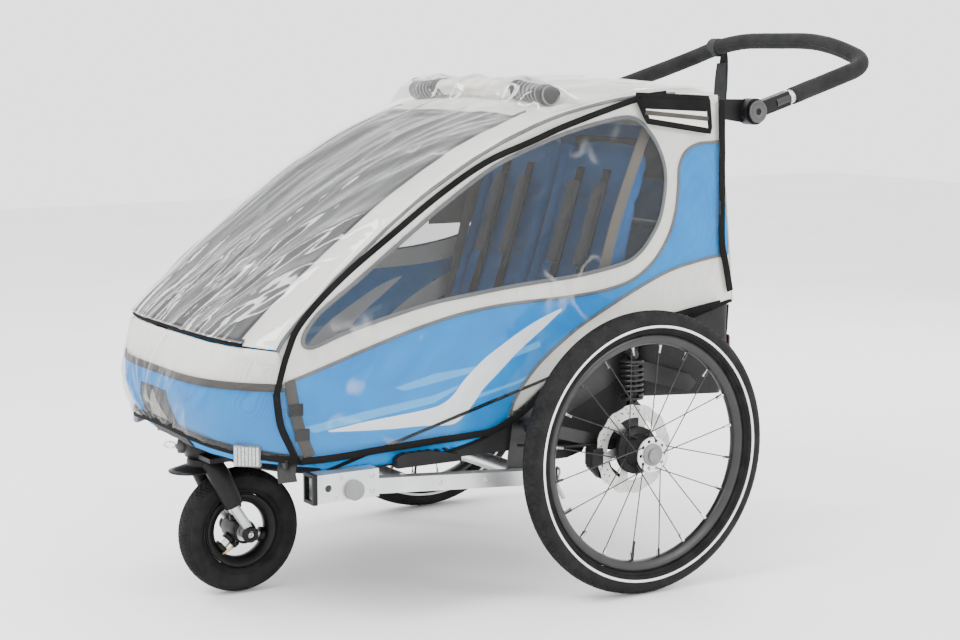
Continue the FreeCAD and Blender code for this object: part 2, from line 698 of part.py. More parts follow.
def build_arm(sign, word):
    """Trailing arm with its axle, the shock above it and the caliper beside it."""
    y0, z0 = dim("arm_pivot_y"), dim("arm_pivot_z")
    y1, z1 = dim("axle_y"), dim("axle_z")
    high = dim("arm_tube_high") / 2
    size = math.hypot(y1 - y0, z1 - z0)
    ny, nz = -(z1 - z0) / size * high, (y1 - y0) / size * high
    tube = polygon_prism([(y0 + ny, z0 + nz), (y1 + ny, z1 + nz), (y1 - ny, z1 - nz),
                          (y0 - ny, z0 - nz)], dim("arm_tube_wide"), 312)
    eye = Part.makeCylinder(14, 16, V(312, y0, z0), V(1, 0, 0))
    boss = Part.makeCylinder(19, 17, V(312, y1, z1), V(1, 0, 0))
    sy, sz = dim("shock_y"), dim("shock_low_z")
    horn = polygon_prism([(30, 268), (52, 290), (sy - 12, sz + 4), (sy, sz + 12), (sy + 12, sz),
                          (sy + 10, 280), (y1 + 12, z1), (y1 - 10, z1)], 6, 315)
    pin = Part.makeCylinder(5, 19, V(298, sy, sz), V(1, 0, 0))
    axle = Part.makeCylinder(dim("axle_radius"), 78, V(328, y1, z1), V(1, 0, 0))
    arm = tube.fuse([eye, boss, horn, pin, axle])
    arm = arm.cut(Part.makeCylinder(6.06, 40, V(300, y0, z0), V(1, 0, 0)))
    arm = arm.cut(Part.makeCylinder(3.56, 30, V(396, y1, z1), V(1, 0, 0)))
    label(feature(arm if sign > 0 else mirrored(arm)), "arm_" + word)
    # shock: coil, damper rod and two eyes
    z_lo, z_hi = sz, dim("shock_high_z") + 8
    wire = dim("spring_wire")
    coil_low, coil_high = z_lo + 20.5, z_hi - 16
    helix = Part.makeHelix((coil_high - coil_low) / 6.0, coil_high - coil_low,
                           dim("spring_radius"))
    helix.translate(V(306, sy, coil_low))
    ring_wire = Part.Wire(Part.makeCircle(wire, V(306 + dim("spring_radius"), sy, coil_low),
                                          V(0, 1, 0)))
    coil = Part.Wire(helix.Edges).makePipeShell([ring_wire], True, True)
    low = Part.makeCylinder(20.5, 4, V(306, sy, coil_low - 7.5))
    low = low.fuse(Part.makeCylinder(9.5, 12, V(300, sy, z_lo), V(1, 0, 0)))
    low = low.fuse(Part.makeCylinder(7, 34, V(306, sy, z_lo + 6)))
    low = low.cut(Part.makeCylinder(5.06, 40, V(290, sy, z_lo), V(1, 0, 0)))
    top = Part.makeCylinder(20.5, 4, V(306, sy, coil_high + 3.5))
    top = top.fuse(Part.makeCylinder(9.5, 12, V(300, sy, z_hi), V(1, 0, 0)))
    top = top.fuse(Part.makeCylinder(5, 30, V(306, sy, z_hi - 36)))
    top = top.cut(Part.makeCylinder(5.06, 40, V(290, sy, z_hi), V(1, 0, 0)))
    shock = [coil, low, top]
    if sign < 0:
        shock = [mirrored(s) for s in shock]
    label(group(shock), "shock_" + word)
    # caliper hangs inboard of the rotor and bridges its front edge
    block = polygon_prism([(-16, 226), (-16, 262), (14, 262), (30, 222), (52, 204), (30, 196),
                           (6, 204)], 13, 331)
    bridge = Part.makeBox(24, 6, 30, V(331, -18, 230))
    lip = Part.makeBox(5, 22, 30, V(350, -18, 230))
    caliper = block.fuse([bridge, lip])
    cable = rod([(320, -150, 276), (320, -60, 264), (333.5, 2, 262.5)], 2.6, [40])
    parts = [caliper, cable]
    if sign < 0:
        parts = [mirrored(p) for p in parts]
    label(group(parts), "caliper_" + word)


# ---------------------------------------------------------------- front wheel

def build_front_wheel():
    cy = dim("caster_y")
    ay, az = dim("front_axle_y"), dim("front_axle_z")
    head = Part.makeCylinder(27, 9.5, V(0, cy, 248.8))
    plate = Part.makeBox(150, 60, 8, V(-75, cy - 24, 250.5))
    tie = Part.makeBox(36, dim("rail_front_y") + 60 - 14.2 - cy, 9, V(-18, cy, 249.3))
    mount = head.fuse([plate, tie])
    mount = mount.cut(Part.makeCylinder(dim("swivel_bore"), 15, V(0, cy, 248)))
    label(feature(mount), "front_mount")
    # fork crown, legs and swivel pin
    crown = Part.makeCylinder(30, 24, V(0, cy, 224.5))
    pin = Part.makeCylinder(dim("swivel_pin"), 9, V(0, cy, 248))
    bridge = Part.makeBox(108, 34, 14, V(-54, cy - 14, 224.5))
    lip = Part.makeBox(56, 50, 6, V(-28, cy - 66, 224.5))
    half = dim("fork_half_width")
    legs, tubes = [], []
    for s in (-1, 1):
        top = (s * half, cy + 4, 232)
        mid = (s * half, cy + 30, 168)
        low = (s * half, ay - 3, az + 14)
        legs.append(rod([top, mid], 12.5))
        legs.append(Part.makeSphere(12.5, V(*top)))
        tubes.append(rod([(s * half, cy + 30.4, 167), low], 9))
        tubes.append(Part.makeCylinder(12, 18, V(s * half - 9, ay, az), V(1, 0, 0)))
    axle = Part.makeCylinder(6, 2 * half, V(-half, ay, az), V(1, 0, 0))
    fork = crown.fuse([pin, bridge, lip] + legs)
    label(feature(fork), "swivel_fork")
    lower = tubes[0].fuse(tubes[1:] + [axle])
    label(feature(lower), "fork_tubes")
    at = [0, "dims.front_axle_y", "dims.front_axle_z"]
    tyre = ring("dims.front_radius - dims.front_section", "dims.front_section", at, (1, 0, 0))
    seat = cyl("dims.front_rim_radius + 0.1", 70, [-35, at[1], at[2]], (1, 0, 0))
    label(cut(tyre, [seat]), "front_tyre")
    outer = revolved("front_rim_body", [
        (-17, "dims.front_rim_radius"), (-17, 52), (-11, 48), (11, 48), (17, 52),
        (17, "dims.front_rim_radius"), (13, "dims.front_rim_radius"), (13, 57), (-13, 57),
        (-13, "dims.front_rim_radius")], at)
    label(outer, "front_rim")
    core = Part.makeCylinder(17, 50, V(-25, ay, az), V(1, 0, 0))
    bars = []
    for k in range(3):
        a = math.radians(100 + 120 * k)
        way = V(0, math.cos(a), math.sin(a))
        bars.append(Part.makeCylinder(8, 38, V(0, ay, az) + way * 9.5, way))
    wheel = core.fuse(bars).cut(Part.makeCylinder(6.06, 60, V(-30, ay, az), V(1, 0, 0)))
    label(feature(wheel), "front_spokes")


# ---------------------------------------------------------------- upper frame

RAIL_PATH = [
    (-512, 292), (-537, 380), (-556, 440), (-545, 482), (-507, 524), (-463, 566), (-408, 611),
    (-343, 660), (-295, 693), (-198, 749), (-120, 783), (-42, 811), (47, 833), (160, 846),
    (262, 846),
]


def build_upper_frame():
    rail_x = dim("roof_rail_x")
    r = dim("hoop_radius")
    py, pz = dim("fold_pivot_y"), dim("fold_pivot_z")
    pieces = []
    for s in (-1, 1):
        path = [(s * rail_x, y, z) for y, z in RAIL_PATH]
        tube = spline_rod(path, r)
        eye = Part.makeCylinder(13, 20, V(s * rail_x - 10, py, pz), V(1, 0, 0))
        pieces += [tube, eye]
    pieces.append(Part.makeCylinder(8, 2 * rail_x, V(-rail_x, 180, 846), V(1, 0, 0)))
    frame = pieces[0].fuse(pieces[1:])
    for s in (-1, 1):
        bore = Part.makeCylinder(6.06, 60, V(s * rail_x - 30, py, pz), V(1, 0, 0))
        frame = frame.cut(bore)
    label(feature(frame), "roof_frame")
    ux = dim("upright_x")
    uy, uz = dim("upright_pivot_y"), dim("upright_pivot_z")
    pieces = []
    for s in (-1, 1):
        pieces.append(rod([(s * ux, uy, uz), (s * ux, 284, 836)], 9))
        pieces.append(Part.makeCylinder(12, 18, V(s * ux - 9, uy, uz), V(1, 0, 0)))
    pieces.append(Part.makeCylinder(8, 2 * ux, V(-ux, 268, 620), V(1, 0, 0)))
    upright = pieces[0].fuse(pieces[1:])
    for s in (-1, 1):
        bore = Part.makeCylinder(6.06, 60, V(s * ux - 30, uy, uz), V(1, 0, 0))
        upright = upright.cut(bore)
    label(feature(upright), "upright_frame")


def bar_path(start):
    """Corners of the push bar: two straight arms and an arched cross run."""
    corner = (dim("bar_corner_x"), dim("bar_corner_y"), dim("bar_corner_z"))
    crown = (dim("bar_corner_x") / 2, dim("bar_middle_y"), dim("bar_middle_z"))
    half = [(start.x, start.y, start.z), corner, crown]
    return half + [(-x, y, z) for x, y, z in reversed(half)]


def build_push_bar():
    by, bz = dim("bar_pivot_y"), dim("bar_pivot_z")
    slope = math.radians(dim("bar_slope_deg"))
    along = V(0, math.cos(slope), math.sin(slope))
    big = dim("pivot_radius")
    plate = polygon_prism([(196, 838), (262, 830), (330, 818), (by, bz - big + 2),
                           (by, bz + big - 2), (330, 856), (262, 858), (196, 852)], 8.4, 272.4)
    disc = Part.makeCylinder(big, 8.4, V(272.4, by, bz), V(1, 0, 0))
    pin = Part.makeCylinder(6, 17.9, V(280.8, by, bz), V(1, 0, 0))
    well = Part.makeCylinder(4.1, 11, V(289.8, by, bz), V(1, 0, 0))
    mount = plate.fuse([disc, pin]).cut(well)
    mounts = [mount, mirrored(mount)]
    label(group(mounts), "handle_mounts")
    hub = Part.makeCylinder(big, 17, V(281.2, by, bz), V(1, 0, 0))
    block = Part.makeBox(17, 84, 27, V(281.2, 0, -13.5))
    block.rotate(V(0, 0, 0), V(1, 0, 0), dim("bar_slope_deg"))
    block.translate(V(0, by, bz))
    arm = hub.fuse(block)
    arm = arm.cut(Part.makeCylinder(6.06, 40, V(275, by, bz), V(1, 0, 0)))
    start = V(289.7, by, bz) + along * 52
    bends = [dim("bar_corner_radius"), 540, 540, dim("bar_corner_radius")]
    tube = rod(bar_path(start), dim("bar_tube_radius"), bends)
    foam = rod(bar_path(start + along * 44), dim("bar_foam_radius"), bends)
    label(feature(tube), "bar_tube")
    label(feature(foam), "bar_foam")
    way = (V(*bar_path(start)[1]) - start).normalize()
    left = arm.cut(Part.makeCylinder(11.05, 60, start - way * 0.3, way))
    label(group([left, mirrored(left)]), "handle_arms")
    cap = Part.makeCylinder(dim("pivot_cap_radius"), 3.6, V(302, by, bz), V(1, 0, 0))
    shank = Part.makeCylinder(4, 10, V(294, by, bz), V(1, 0, 0))
    cap = cap.fuse(shank)
    label(feature(cap), "pivot_cap_left")
    label(feature(mirrored(cap)), "pivot_cap_right")
    spot_at = V(-191.5, 671, 945.9)
    lean = V(math.cos(math.radians(13.8)), 0.076, math.sin(math.radians(13.8))).normalize()
    loop = Part.makeCylinder(19.5, 25, spot_at - lean * 12.5, lean)
    loop = loop.cut(Part.makeCylinder(17.2, 25, spot_at - lean * 12.5, lean))
    sy, sz = spot_at.y, spot_at.z
    tail = polygon_prism([(sy + 15, sz - 13), (sy + 19, sz - 60), (sy + 14, sz - 262),
                          (sy + 8, sz - 262), (sy + 11, sz - 60), (sy + 11, sz - 17)], 25, -204)
    label(feature(loop.fuse(tail)), "wrist_strap")


# ---------------------------------------------------------------- small fittings

def build_fittings():
    step = polygon_prism([(-377, 257), (-377, 276), (-366, 282), (-308, 282), (-250, 268),
                          (-250, 256)], 18, 285.8)
    label(group([step, mirrored(step)]), "step_bumpers")
    plates = []
    for s in (-1, 1):
        plate = Part.makeBox(44, 7, 22, V(-22, -7, -11))
        plate.rotate(V(0, 0, 0), V(0, 0, 1), s * 50)
        plate.translate(V(s * 227.5, -611.5, 292))
        plates.append(plate)
        rear = Part.makeBox(8, 6, 46, V(s * 262 - 4, 347.5, 372))
        plates.append(rear)
    label(group(plates), "reflectors")
    pedal = polygon_prism([(-84, 240), (-84, 264), (-14, 266), (-2, 257), (-8, 248), (-40, 240)],
                          20, 288)
    pedal = pedal.cut(Part.makeCylinder(4.06, 60, V(270, -72, 252), V(1, 0, 0)))
    label(feature(pedal), "brake_pedal")
    link = rod([(287, -48, 220), (298, -47, 217), (298, -54, 192)], 2.2, [8])
    pin = rod([(298, -55, 190), (298, -40, 166)], 4)
    label(group([link, pin]), "tether_pin")


build_cabin()
build_tub()
build_bag()
build_rain_cover()
build_seats()
build_frame()
build_receiver()
for direction, side_word in ((1, "left"), (-1, "right")):
    build_rear_wheel(direction, side_word)
    build_arm(direction, side_word)
build_front_wheel()
build_upper_frame()
build_push_bar()
build_fittings()

doc.recompute()
bad = []
for obj in doc.Objects:
    if "Invalid" in obj.State or "Error" in obj.State:
        bad.append(obj.Label + " state")
for name, obj in NODES:
    if obj.Shape.isNull() or not obj.Shape.isValid() or not obj.Shape.Solids:
        bad.append(name + " shape")
if bad:
    raise RuntimeError("; ".join(bad))
os.makedirs("parts", exist_ok=True)
for name, obj in NODES:
    obj.Shape.exportStep("parts/%s.step" % name)
print(len(NODES), "sub-parts written")
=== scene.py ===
import math

import bpy
from mathutils import Matrix, Vector, noise
from mathutils.geometry import delaunay_2d_cdt


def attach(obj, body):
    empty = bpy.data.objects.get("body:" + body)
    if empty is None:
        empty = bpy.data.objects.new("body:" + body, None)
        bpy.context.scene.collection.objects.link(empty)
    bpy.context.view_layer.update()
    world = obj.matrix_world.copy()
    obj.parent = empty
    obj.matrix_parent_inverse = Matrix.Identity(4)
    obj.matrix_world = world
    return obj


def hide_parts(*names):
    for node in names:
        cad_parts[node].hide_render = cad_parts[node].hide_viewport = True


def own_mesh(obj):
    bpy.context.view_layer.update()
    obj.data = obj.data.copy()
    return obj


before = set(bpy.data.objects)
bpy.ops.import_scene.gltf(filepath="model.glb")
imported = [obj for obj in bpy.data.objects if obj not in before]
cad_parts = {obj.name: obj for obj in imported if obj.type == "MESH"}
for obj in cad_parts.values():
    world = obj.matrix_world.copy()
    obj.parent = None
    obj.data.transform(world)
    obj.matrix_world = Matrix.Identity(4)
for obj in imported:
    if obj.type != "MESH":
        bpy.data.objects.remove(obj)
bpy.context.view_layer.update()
HALF = 0.285                    # half the cabin's width
AXLE = (0.073, 0.250)           # rear axle line as (y, z)
WHEEL_X = 0.384                 # middle of a rear tyre
ROTOR_X = 0.347                 # middle of a brake rotor
TYRE_R = 0.2498                 # outer radius of a rear tyre
FRONT_R = 0.1108                # outer radius of the front tyre
SEAT_KEEP, BAG_KEEP = 0.5, 0.55  # share of height left when the frame is folded
SIDES = ((1, "left"), (-1, "right"))

# ------------------------------------------------------------------ materials


def new_mat(name):
    m = bpy.data.materials.new(name)
    m.use_nodes = True
    nt = m.node_tree
    return m, nt, nt.nodes["Principled BSDF"]


def put(nt, kind, **values):
    n = nt.nodes.new(kind)
    for key, value in values.items():
        if hasattr(n, key):
            setattr(n, key, value)
        else:
            n.inputs[key.replace("_", " ")].default_value = value
    return n


def maths(nt, op, a, b=0.0):
    n = nt.nodes.new("ShaderNodeMath")
    n.operation = op
    for i, v in enumerate((a, b)):
        if isinstance(v, (int, float)):
            n.inputs[i].default_value = v
        else:
            nt.links.new(v, n.inputs[i])
    return n.outputs[0]


def coords(nt, stretch=(1, 1, 1)):
    tc = put(nt, "ShaderNodeTexCoord")
    mp = put(nt, "ShaderNodeMapping")
    mp.inputs["Scale"].default_value = stretch
    nt.links.new(tc.outputs["Object"], mp.inputs["Vector"])
    return mp.outputs["Vector"]


def noise_of(nt, scale, detail=4.0, stretch=(1, 1, 1), rough=0.55):
    n = put(nt, "ShaderNodeTexNoise", Scale=scale, Detail=detail, Roughness=rough)
    nt.links.new(coords(nt, stretch), n.inputs["Vector"])
    return n.outputs["Fac"]


def weave_of(nt, pitch):
    """Height of a plain weave with threads every pitch metres along each axis."""
    sep = put(nt, "ShaderNodeSeparateXYZ")
    nt.links.new(coords(nt), sep.inputs[0])
    k = 2 * math.pi / pitch
    s = [maths(nt, "SINE", maths(nt, "MULTIPLY", sep.outputs[i], k)) for i in range(3)]
    pairs = [maths(nt, "MULTIPLY", s[i], s[j]) for i, j in ((0, 1), (1, 2), (2, 0))]
    return maths(nt, "ADD", maths(nt, "ADD", pairs[0], pairs[1]), pairs[2])


def bump(nt, bsdf, layers):
    """Stacks bump layers of (height, metres, strength) on a shader's normal."""
    normal = None
    for height, distance, strength in layers:
        b = put(nt, "ShaderNodeBump", Strength=strength, Distance=distance)
        nt.links.new(height, b.inputs["Height"])
        if normal:
            nt.links.new(normal, b.inputs["Normal"])
        normal = b.outputs["Normal"]
    nt.links.new(normal, bsdf.inputs["Normal"])
    return normal


def tint(nt, bsdf, a, b, fac, low=0.3, high=0.7):
    ramp = put(nt, "ShaderNodeValToRGB")
    ramp.color_ramp.elements[0].position = low
    ramp.color_ramp.elements[1].position = high
    ramp.color_ramp.elements[0].color = (*a, 1)
    ramp.color_ramp.elements[1].color = (*b, 1)
    nt.links.new(fac, ramp.inputs[0])
    nt.links.new(ramp.outputs[0], bsdf.inputs["Base Color"])


def cloth(name, a, b, pitch=0.0011, rough=0.6, crease=0.004, sheen=0.25, spec=0.4):
    m, nt, p = new_mat(name)
    p.inputs["Specular IOR Level"].default_value = spec
    p.inputs["Roughness"].default_value = rough
    p.inputs["Sheen Weight"].default_value = sheen
    tint(nt, p, a, b, noise_of(nt, 14, 5))
    bump(nt, p, [(noise_of(nt, 9, 3, (1, 1, 0.45)), crease, 0.6),
                 (noise_of(nt, 60, 3), 0.0006, 0.5), (weave_of(nt, pitch), 0.00025, 0.7)])
    return m


def plastic(name, a, b, rough=0.5, grain=900, depth=0.0002, metal=0.0, spec=0.5):
    m, nt, p = new_mat(name)
    p.inputs["Metallic"].default_value = metal
    p.inputs["Specular IOR Level"].default_value = spec
    tint(nt, p, a, b, noise_of(nt, 35, 4))
    lift = maths(nt, "MULTIPLY", noise_of(nt, 22, 5), 0.3)
    nt.links.new(maths(nt, "ADD", lift, rough - 0.15), p.inputs["Roughness"])
    bump(nt, p, [(noise_of(nt, grain, 2), depth, 0.6), (noise_of(nt, 55, 3), 0.0003, 0.25)])
    return m


def metal_mat(name, a, b, rough=0.3, stretch=(60, 1, 60), scale=18):
    m, nt, p = new_mat(name)
    p.inputs["Metallic"].default_value = 0.9
    tint(nt, p, a, b, noise_of(nt, 20, 5))
    lines = noise_of(nt, scale, 6, stretch)
    nt.links.new(maths(nt, "ADD", maths(nt, "MULTIPLY", lines, 0.22), rough - 0.1),
                 p.inputs["Roughness"])
    bump(nt, p, [(lines, 0.0001, 0.5), (noise_of(nt, 240, 3), 0.00008, 0.4)])
    return m


def film(name, haze, shine, tone, wrinkle=0.0015, whitening_and_glint_share=0.3):
    """Soft clear film: see-through, glossy, with white lines along a few sharp creases that are
    partly stress whitening and partly painted reflection on the crease crests.
    """
    m, nt, p = new_mat(name)
    nt.nodes.remove(p)
    out = nt.nodes["Material Output"]
    clear = put(nt, "ShaderNodeBsdfTransparent", Color=(*tone, 1))
    gloss = put(nt, "ShaderNodeBsdfGlossy", Roughness=0.09, Color=(1, 1, 1, 1))
    haze_and_glint_white = put(nt, "ShaderNodeBsdfDiffuse", Color=(0.93, 0.94, 0.95, 1))
    height = noise_of(nt, 11, 3, (1, 1, 0.5))
    fine = noise_of(nt, 42, 2, (1, 0.6, 1))
    normal = bump(nt, gloss, [(height, wrinkle * 4, 0.7), (fine, wrinkle * 0.25, 0.5)])
    fres = put(nt, "ShaderNodeFresnel", IOR=1.45)
    nt.links.new(normal, fres.inputs["Normal"])
    # White crease lines mixed into the film: partly stress whitening of the vinyl, partly painted
    # reflection on the crease crests; the gate keeps only some patches of them.
    mask = noise_of(nt, 8, 3, (1.0, 0.5, 0.5), 0.5)
    ridge = maths(nt, "ABSOLUTE", maths(nt, "SUBTRACT", mask, 0.5))
    crest = maths(nt, "MAXIMUM", maths(nt, "SUBTRACT", 1.0, maths(nt, "MULTIPLY", ridge, 60)), 0)
    gate = maths(nt, "MULTIPLY", maths(nt, "SUBTRACT", noise_of(nt, 5, 2), 0.5), 9)
    gate = maths(nt, "MINIMUM", maths(nt, "MAXIMUM", gate, 0), 1)
    white = maths(nt, "MULTIPLY", maths(nt, "MULTIPLY", crest, gate), whitening_and_glint_share)
    mix_a = put(nt, "ShaderNodeMixShader")
    nt.links.new(maths(nt, "ADD", white, haze), mix_a.inputs[0])
    nt.links.new(clear.outputs[0], mix_a.inputs[1])
    nt.links.new(haze_and_glint_white.outputs[0], mix_a.inputs[2])
    mix_b = put(nt, "ShaderNodeMixShader")
    fac = maths(nt, "MINIMUM", maths(nt, "MULTIPLY", fres.outputs[0], shine), 0.8)
    nt.links.new(fac, mix_b.inputs[0])
    nt.links.new(mix_a.outputs[0], mix_b.inputs[1])
    nt.links.new(gloss.outputs[0], mix_b.inputs[2])
    nt.links.new(mix_b.outputs[0], out.inputs["Surface"])
    return m


def net_mat(name, tone, open_share=0.25, pitch=0.0016):
    """Fly mesh: dark threads with small gaps between them."""
    m, nt, p = new_mat(name)
    p.inputs["Roughness"].default_value = 0.6
    tint(nt, p, tone, tuple(c * 1.8 + 0.01 for c in tone), noise_of(nt, 30, 4))
    w = weave_of(nt, pitch)
    bump(nt, p, [(w, 0.0003, 0.8)])
    gap = maths(nt, "GREATER_THAN", w, 0.35)
    alpha = maths(nt, "SUBTRACT", 1.0, maths(nt, "MULTIPLY", gap, open_share * 2))
    nt.links.new(alpha, p.inputs["Alpha"])
    return m


def prism_mat(name, a, b):
    m, nt, p = new_mat(name)
    p.inputs["Roughness"].default_value = 0.12
    p.inputs["Coat Weight"].default_value = 0.8
    v = put(nt, "ShaderNodeTexVoronoi", Scale=420)
    nt.links.new(coords(nt), v.inputs["Vector"])
    tint(nt, p, a, b, v.outputs["Distance"], 0.1, 0.6)
    bump(nt, p, [(v.outputs["Distance"], 0.0008, 0.9)])
    return m


BLUE = cloth("cover_blue", (0.000, 0.205, 0.570), (0.000, 0.255, 0.650), sheen=0.0,
             spec=0.15)
BLUE_LIGHT = cloth("cover_blue_pale", (0.060, 0.360, 0.720), (0.090, 0.410, 0.760), sheen=0.0)
CREAM = cloth("cover_cream", (0.76, 0.75, 0.69), (0.82, 0.81, 0.75), sheen=0.1)
WHITE = cloth("cover_white", (0.78, 0.80, 0.80), (0.85, 0.86, 0.85), rough=0.5)
PIPING = cloth("piping_grey", (0.10, 0.105, 0.11), (0.15, 0.155, 0.16), pitch=0.0008, crease=0.0005,
               sheen=0.0)
BINDING = cloth("binding_black", (0.003,) * 3, (0.008,) * 3, pitch=0.0009,
                crease=0.001, rough=0.85, sheen=0.0, spec=0.15)
WEBBING = cloth("webbing_grey", (0.026, 0.026, 0.027), (0.046, 0.046, 0.047), pitch=0.0016,
                crease=0.0006, rough=0.8, sheen=0.0, spec=0.15)
STRAP_BLACK = cloth("webbing_black", (0.004, 0.004, 0.005), (0.010, 0.010, 0.011), pitch=0.0014,
                    crease=0.0006, sheen=0.0, spec=0.2)
SEAT_BLUE = cloth("seat_blue", (0.000, 0.170, 0.540), (0.002, 0.215, 0.620), crease=0.006,
                  sheen=0.0)
SEAT_GREY = cloth("seat_grey", (0.045, 0.047, 0.052), (0.075, 0.078, 0.085), crease=0.006)
LINING = cloth("lining_taupe", (0.20, 0.17, 0.13), (0.28, 0.25, 0.20), crease=0.004)
RIPSTOP = cloth("bag_black", (0.006, 0.006, 0.007), (0.014, 0.014, 0.015), pitch=0.004,
                crease=0.008, sheen=0.0, spec=0.25)
TAUPE = cloth("strip_taupe", (0.040, 0.037, 0.032), (0.065, 0.060, 0.052), pitch=0.0014,
              crease=0.001, sheen=0.0, spec=0.2)
MESH = net_mat("front_net", (0.022, 0.023, 0.025), 0.10)
# The share sets the strength of the white crease lines: part stress whitening, part painted
# reflection.
CLEAR = film("rain_film", 0.003, 0.55, (0.985, 0.988, 0.99), wrinkle=0.0011, whitening_and_glint_share=0.22)
CLEAR_NOSE = film("rain_film_nose", 0.004, 0.6, (0.98, 0.983, 0.985), wrinkle=0.0013)
CLEAR_FRONT = film("rain_film_front", 0.012, 1.15, (0.97, 0.972, 0.975), wrinkle=0.0013)
TINTED = film("window_film", 0.004, 0.35, (0.74, 0.74, 0.735), wrinkle=0.0004, whitening_and_glint_share=0.0)
BLACK = plastic("moulded_black", (0.003,) * 3, (0.007,) * 3, 0.42, spec=0.20)
DARK_GREY = plastic("moulded_dark_grey", (0.050, 0.050, 0.052), (0.070, 0.070, 0.073), 0.5,
                    spec=0.3)
GREY = plastic("moulded_grey", (0.14, 0.14, 0.145), (0.19, 0.19, 0.195), 0.45)
FOAM = plastic("foam_black", (0.006,) * 3, (0.014,) * 3, 0.85, grain=420,
               depth=0.0006, spec=0.25)
RUBBER = plastic("tyre_rubber", (0.007,) * 3, (0.016,) * 3, 0.74, grain=500,
                 depth=0.0003, spec=0.12)
POWDER = plastic("powder_black", (0.005,) * 3, (0.011,) * 3, 0.38, grain=1300,
                 depth=0.0001)
ALLOY = metal_mat("alloy_satin", (0.50, 0.51, 0.52), (0.62, 0.63, 0.64), 0.36, (60, 1, 60))
ALLOY_X = metal_mat("alloy_turned", (0.60, 0.61, 0.62), (0.76, 0.77, 0.78), 0.30, (60, 2, 2))
STEEL = metal_mat("rotor_steel", (0.46, 0.46, 0.45), (0.60, 0.60, 0.58), 0.32, (4, 4, 4), 60)
SPOKE = metal_mat("spoke_black", (0.03,) * 3, (0.06,) * 3, 0.35)
NICKEL = metal_mat("nipple_silver", (0.60,) * 3, (0.75,) * 3, 0.25)
BRASS = metal_mat("valve_brass", (0.45, 0.33, 0.14), (0.58, 0.44, 0.20), 0.3)
RED_LENS = prism_mat("reflector_red", (0.35, 0.01, 0.01), (0.75, 0.04, 0.03))
CLEAR_LENS = prism_mat("reflector_clear", (0.16, 0.165, 0.17), (0.46, 0.47, 0.47))
SHINE_RING = plastic("tyre_ring", (0.62, 0.62, 0.61), (0.80, 0.80, 0.79), 0.35, grain=1500)

# ------------------------------------------------------------------ mesh tools


def quads(n, k, loop=False, gap=0):
    """Faces that join n rings of k points; gap=1 leaves the rings open."""
    return [(i * k + j, i * k + (j + 1) % k, (i + 1) % n * k + (j + 1) % k, (i + 1) % n * k + j)
            for i in range(n if loop else n - 1) for j in range(k - gap)]


def lids(n, k):
    """End faces of n rings of k points."""
    return [list(reversed(range(k))), [(n - 1) * k + j for j in range(k)]]


def around(n):
    return [2 * math.pi * k / n for k in range(n)]


def even_steps(a, b, n):
    """The first n of n + 1 even steps from point a to point b."""
    return [tuple(p + (q - p) * t / n for p, q in zip(a, b)) for t in range(n)]


def add(name, verts, faces, mat, smooth=True):
    me = bpy.data.meshes.new(name)
    me.from_pydata([tuple(v) for v in verts], [], faces)
    me.validate()
    me.update()
    ob = bpy.data.objects.new(name, me)
    bpy.context.scene.collection.objects.link(ob)
    for m in (mat if isinstance(mat, (list, tuple)) else [mat]):
        me.materials.append(m)
    if smooth:
        shade(ob, True)
    return ob


def shade(ob, smooth):
    ob.data.polygons.foreach_set("use_smooth", [smooth] * len(ob.data.polygons))


def joined(name, parts):
    """One object from several, keeping each part's material."""
    verts, faces, mats, index = [], [], [], []
    for ob in parts:
        start = len(verts)
        verts += [tuple(v.co) for v in ob.data.vertices]
        slots = []
        for m in ob.data.materials:
            if m not in mats:
                mats.append(m)
            slots.append(mats.index(m))
        for p in ob.data.polygons:
            faces.append([start + k for k in p.vertices])
            index.append((slots[p.material_index], p.use_smooth))
        bpy.data.objects.remove(ob)
    out = add(name, verts, faces, mats, False)
    for p, (slot, smooth) in zip(out.data.polygons, index):
        p.material_index = slot
        p.use_smooth = smooth
    return out


def thicken(ob, depth, offset=-1.0):
    mod = ob.modifiers.new("thickness", "SOLIDIFY")
    mod.thickness = depth
    mod.offset = offset
    bake(ob)
    return ob


def soften(ob, width, segments=2, angle=35):
    mod = ob.modifiers.new("edge", "BEVEL")
    mod.width = width
    mod.segments = segments
    mod.limit_method = "ANGLE"
    mod.angle_limit = math.radians(angle)
    mod.harden_normals = False
    bake(ob)
    return ob


def bake(ob):
    deps = bpy.context.evaluated_depsgraph_get()
    me = bpy.data.meshes.new_from_object(ob.evaluated_get(deps))
    old = ob.data
    ob.modifiers.clear()
    ob.data = me
    bpy.data.meshes.remove(old)


def flipped(ob, name):
    """Mirror copy across the trailer's middle."""
    verts = [(-v.co.x, v.co.y, v.co.z) for v in ob.data.vertices]
    faces = [list(reversed(p.vertices)) for p in ob.data.polygons]
    out = add(name, verts, faces, list(ob.data.materials), False)
    for a, b in zip(out.data.polygons, ob.data.polygons):
        a.material_index = b.material_index
        a.use_smooth = b.use_smooth
    return out


def on_side(ob, s, kind):
    """Names a piece that was built on the left for its side, mirrored on the right."""
    if s > 0:
        ob.name = kind + "_left"
        return ob
    new = flipped(ob, kind + "_right")
    bpy.data.objects.remove(ob)
    return new


def sweep(name, path, section, mat, closed=False, up=(0, 0, 1), scale=None):
    """Carries a closed (a, b) section along a path; b follows the up direction."""
    pts = [Vector(p) for p in path]
    n, k = len(pts), len(section)
    verts = []
    side_last = None
    for i, p in enumerate(pts):
        a = pts[(i - 1) % n] if closed or i else p
        b = pts[(i + 1) % n] if closed or i < n - 1 else p
        way = (b - a).normalized()
        ref = Vector(up(i, p) if callable(up) else up)
        side = way.cross(ref)
        if side.length < 1e-4:
            side = side_last or way.orthogonal()
        side.normalize()
        side_last = side
        top = side.cross(way)
        size = scale(i / (n - 1)) if scale else 1.0
        verts += [p + (side * u + top * v) * size for u, v in section]
    faces = quads(n, k, closed) + ([] if closed else lids(n, k))
    return add(name, verts, faces, mat)


def circle(r, k=12):
    return [(r * math.cos(a), r * math.sin(a)) for a in around(k)]


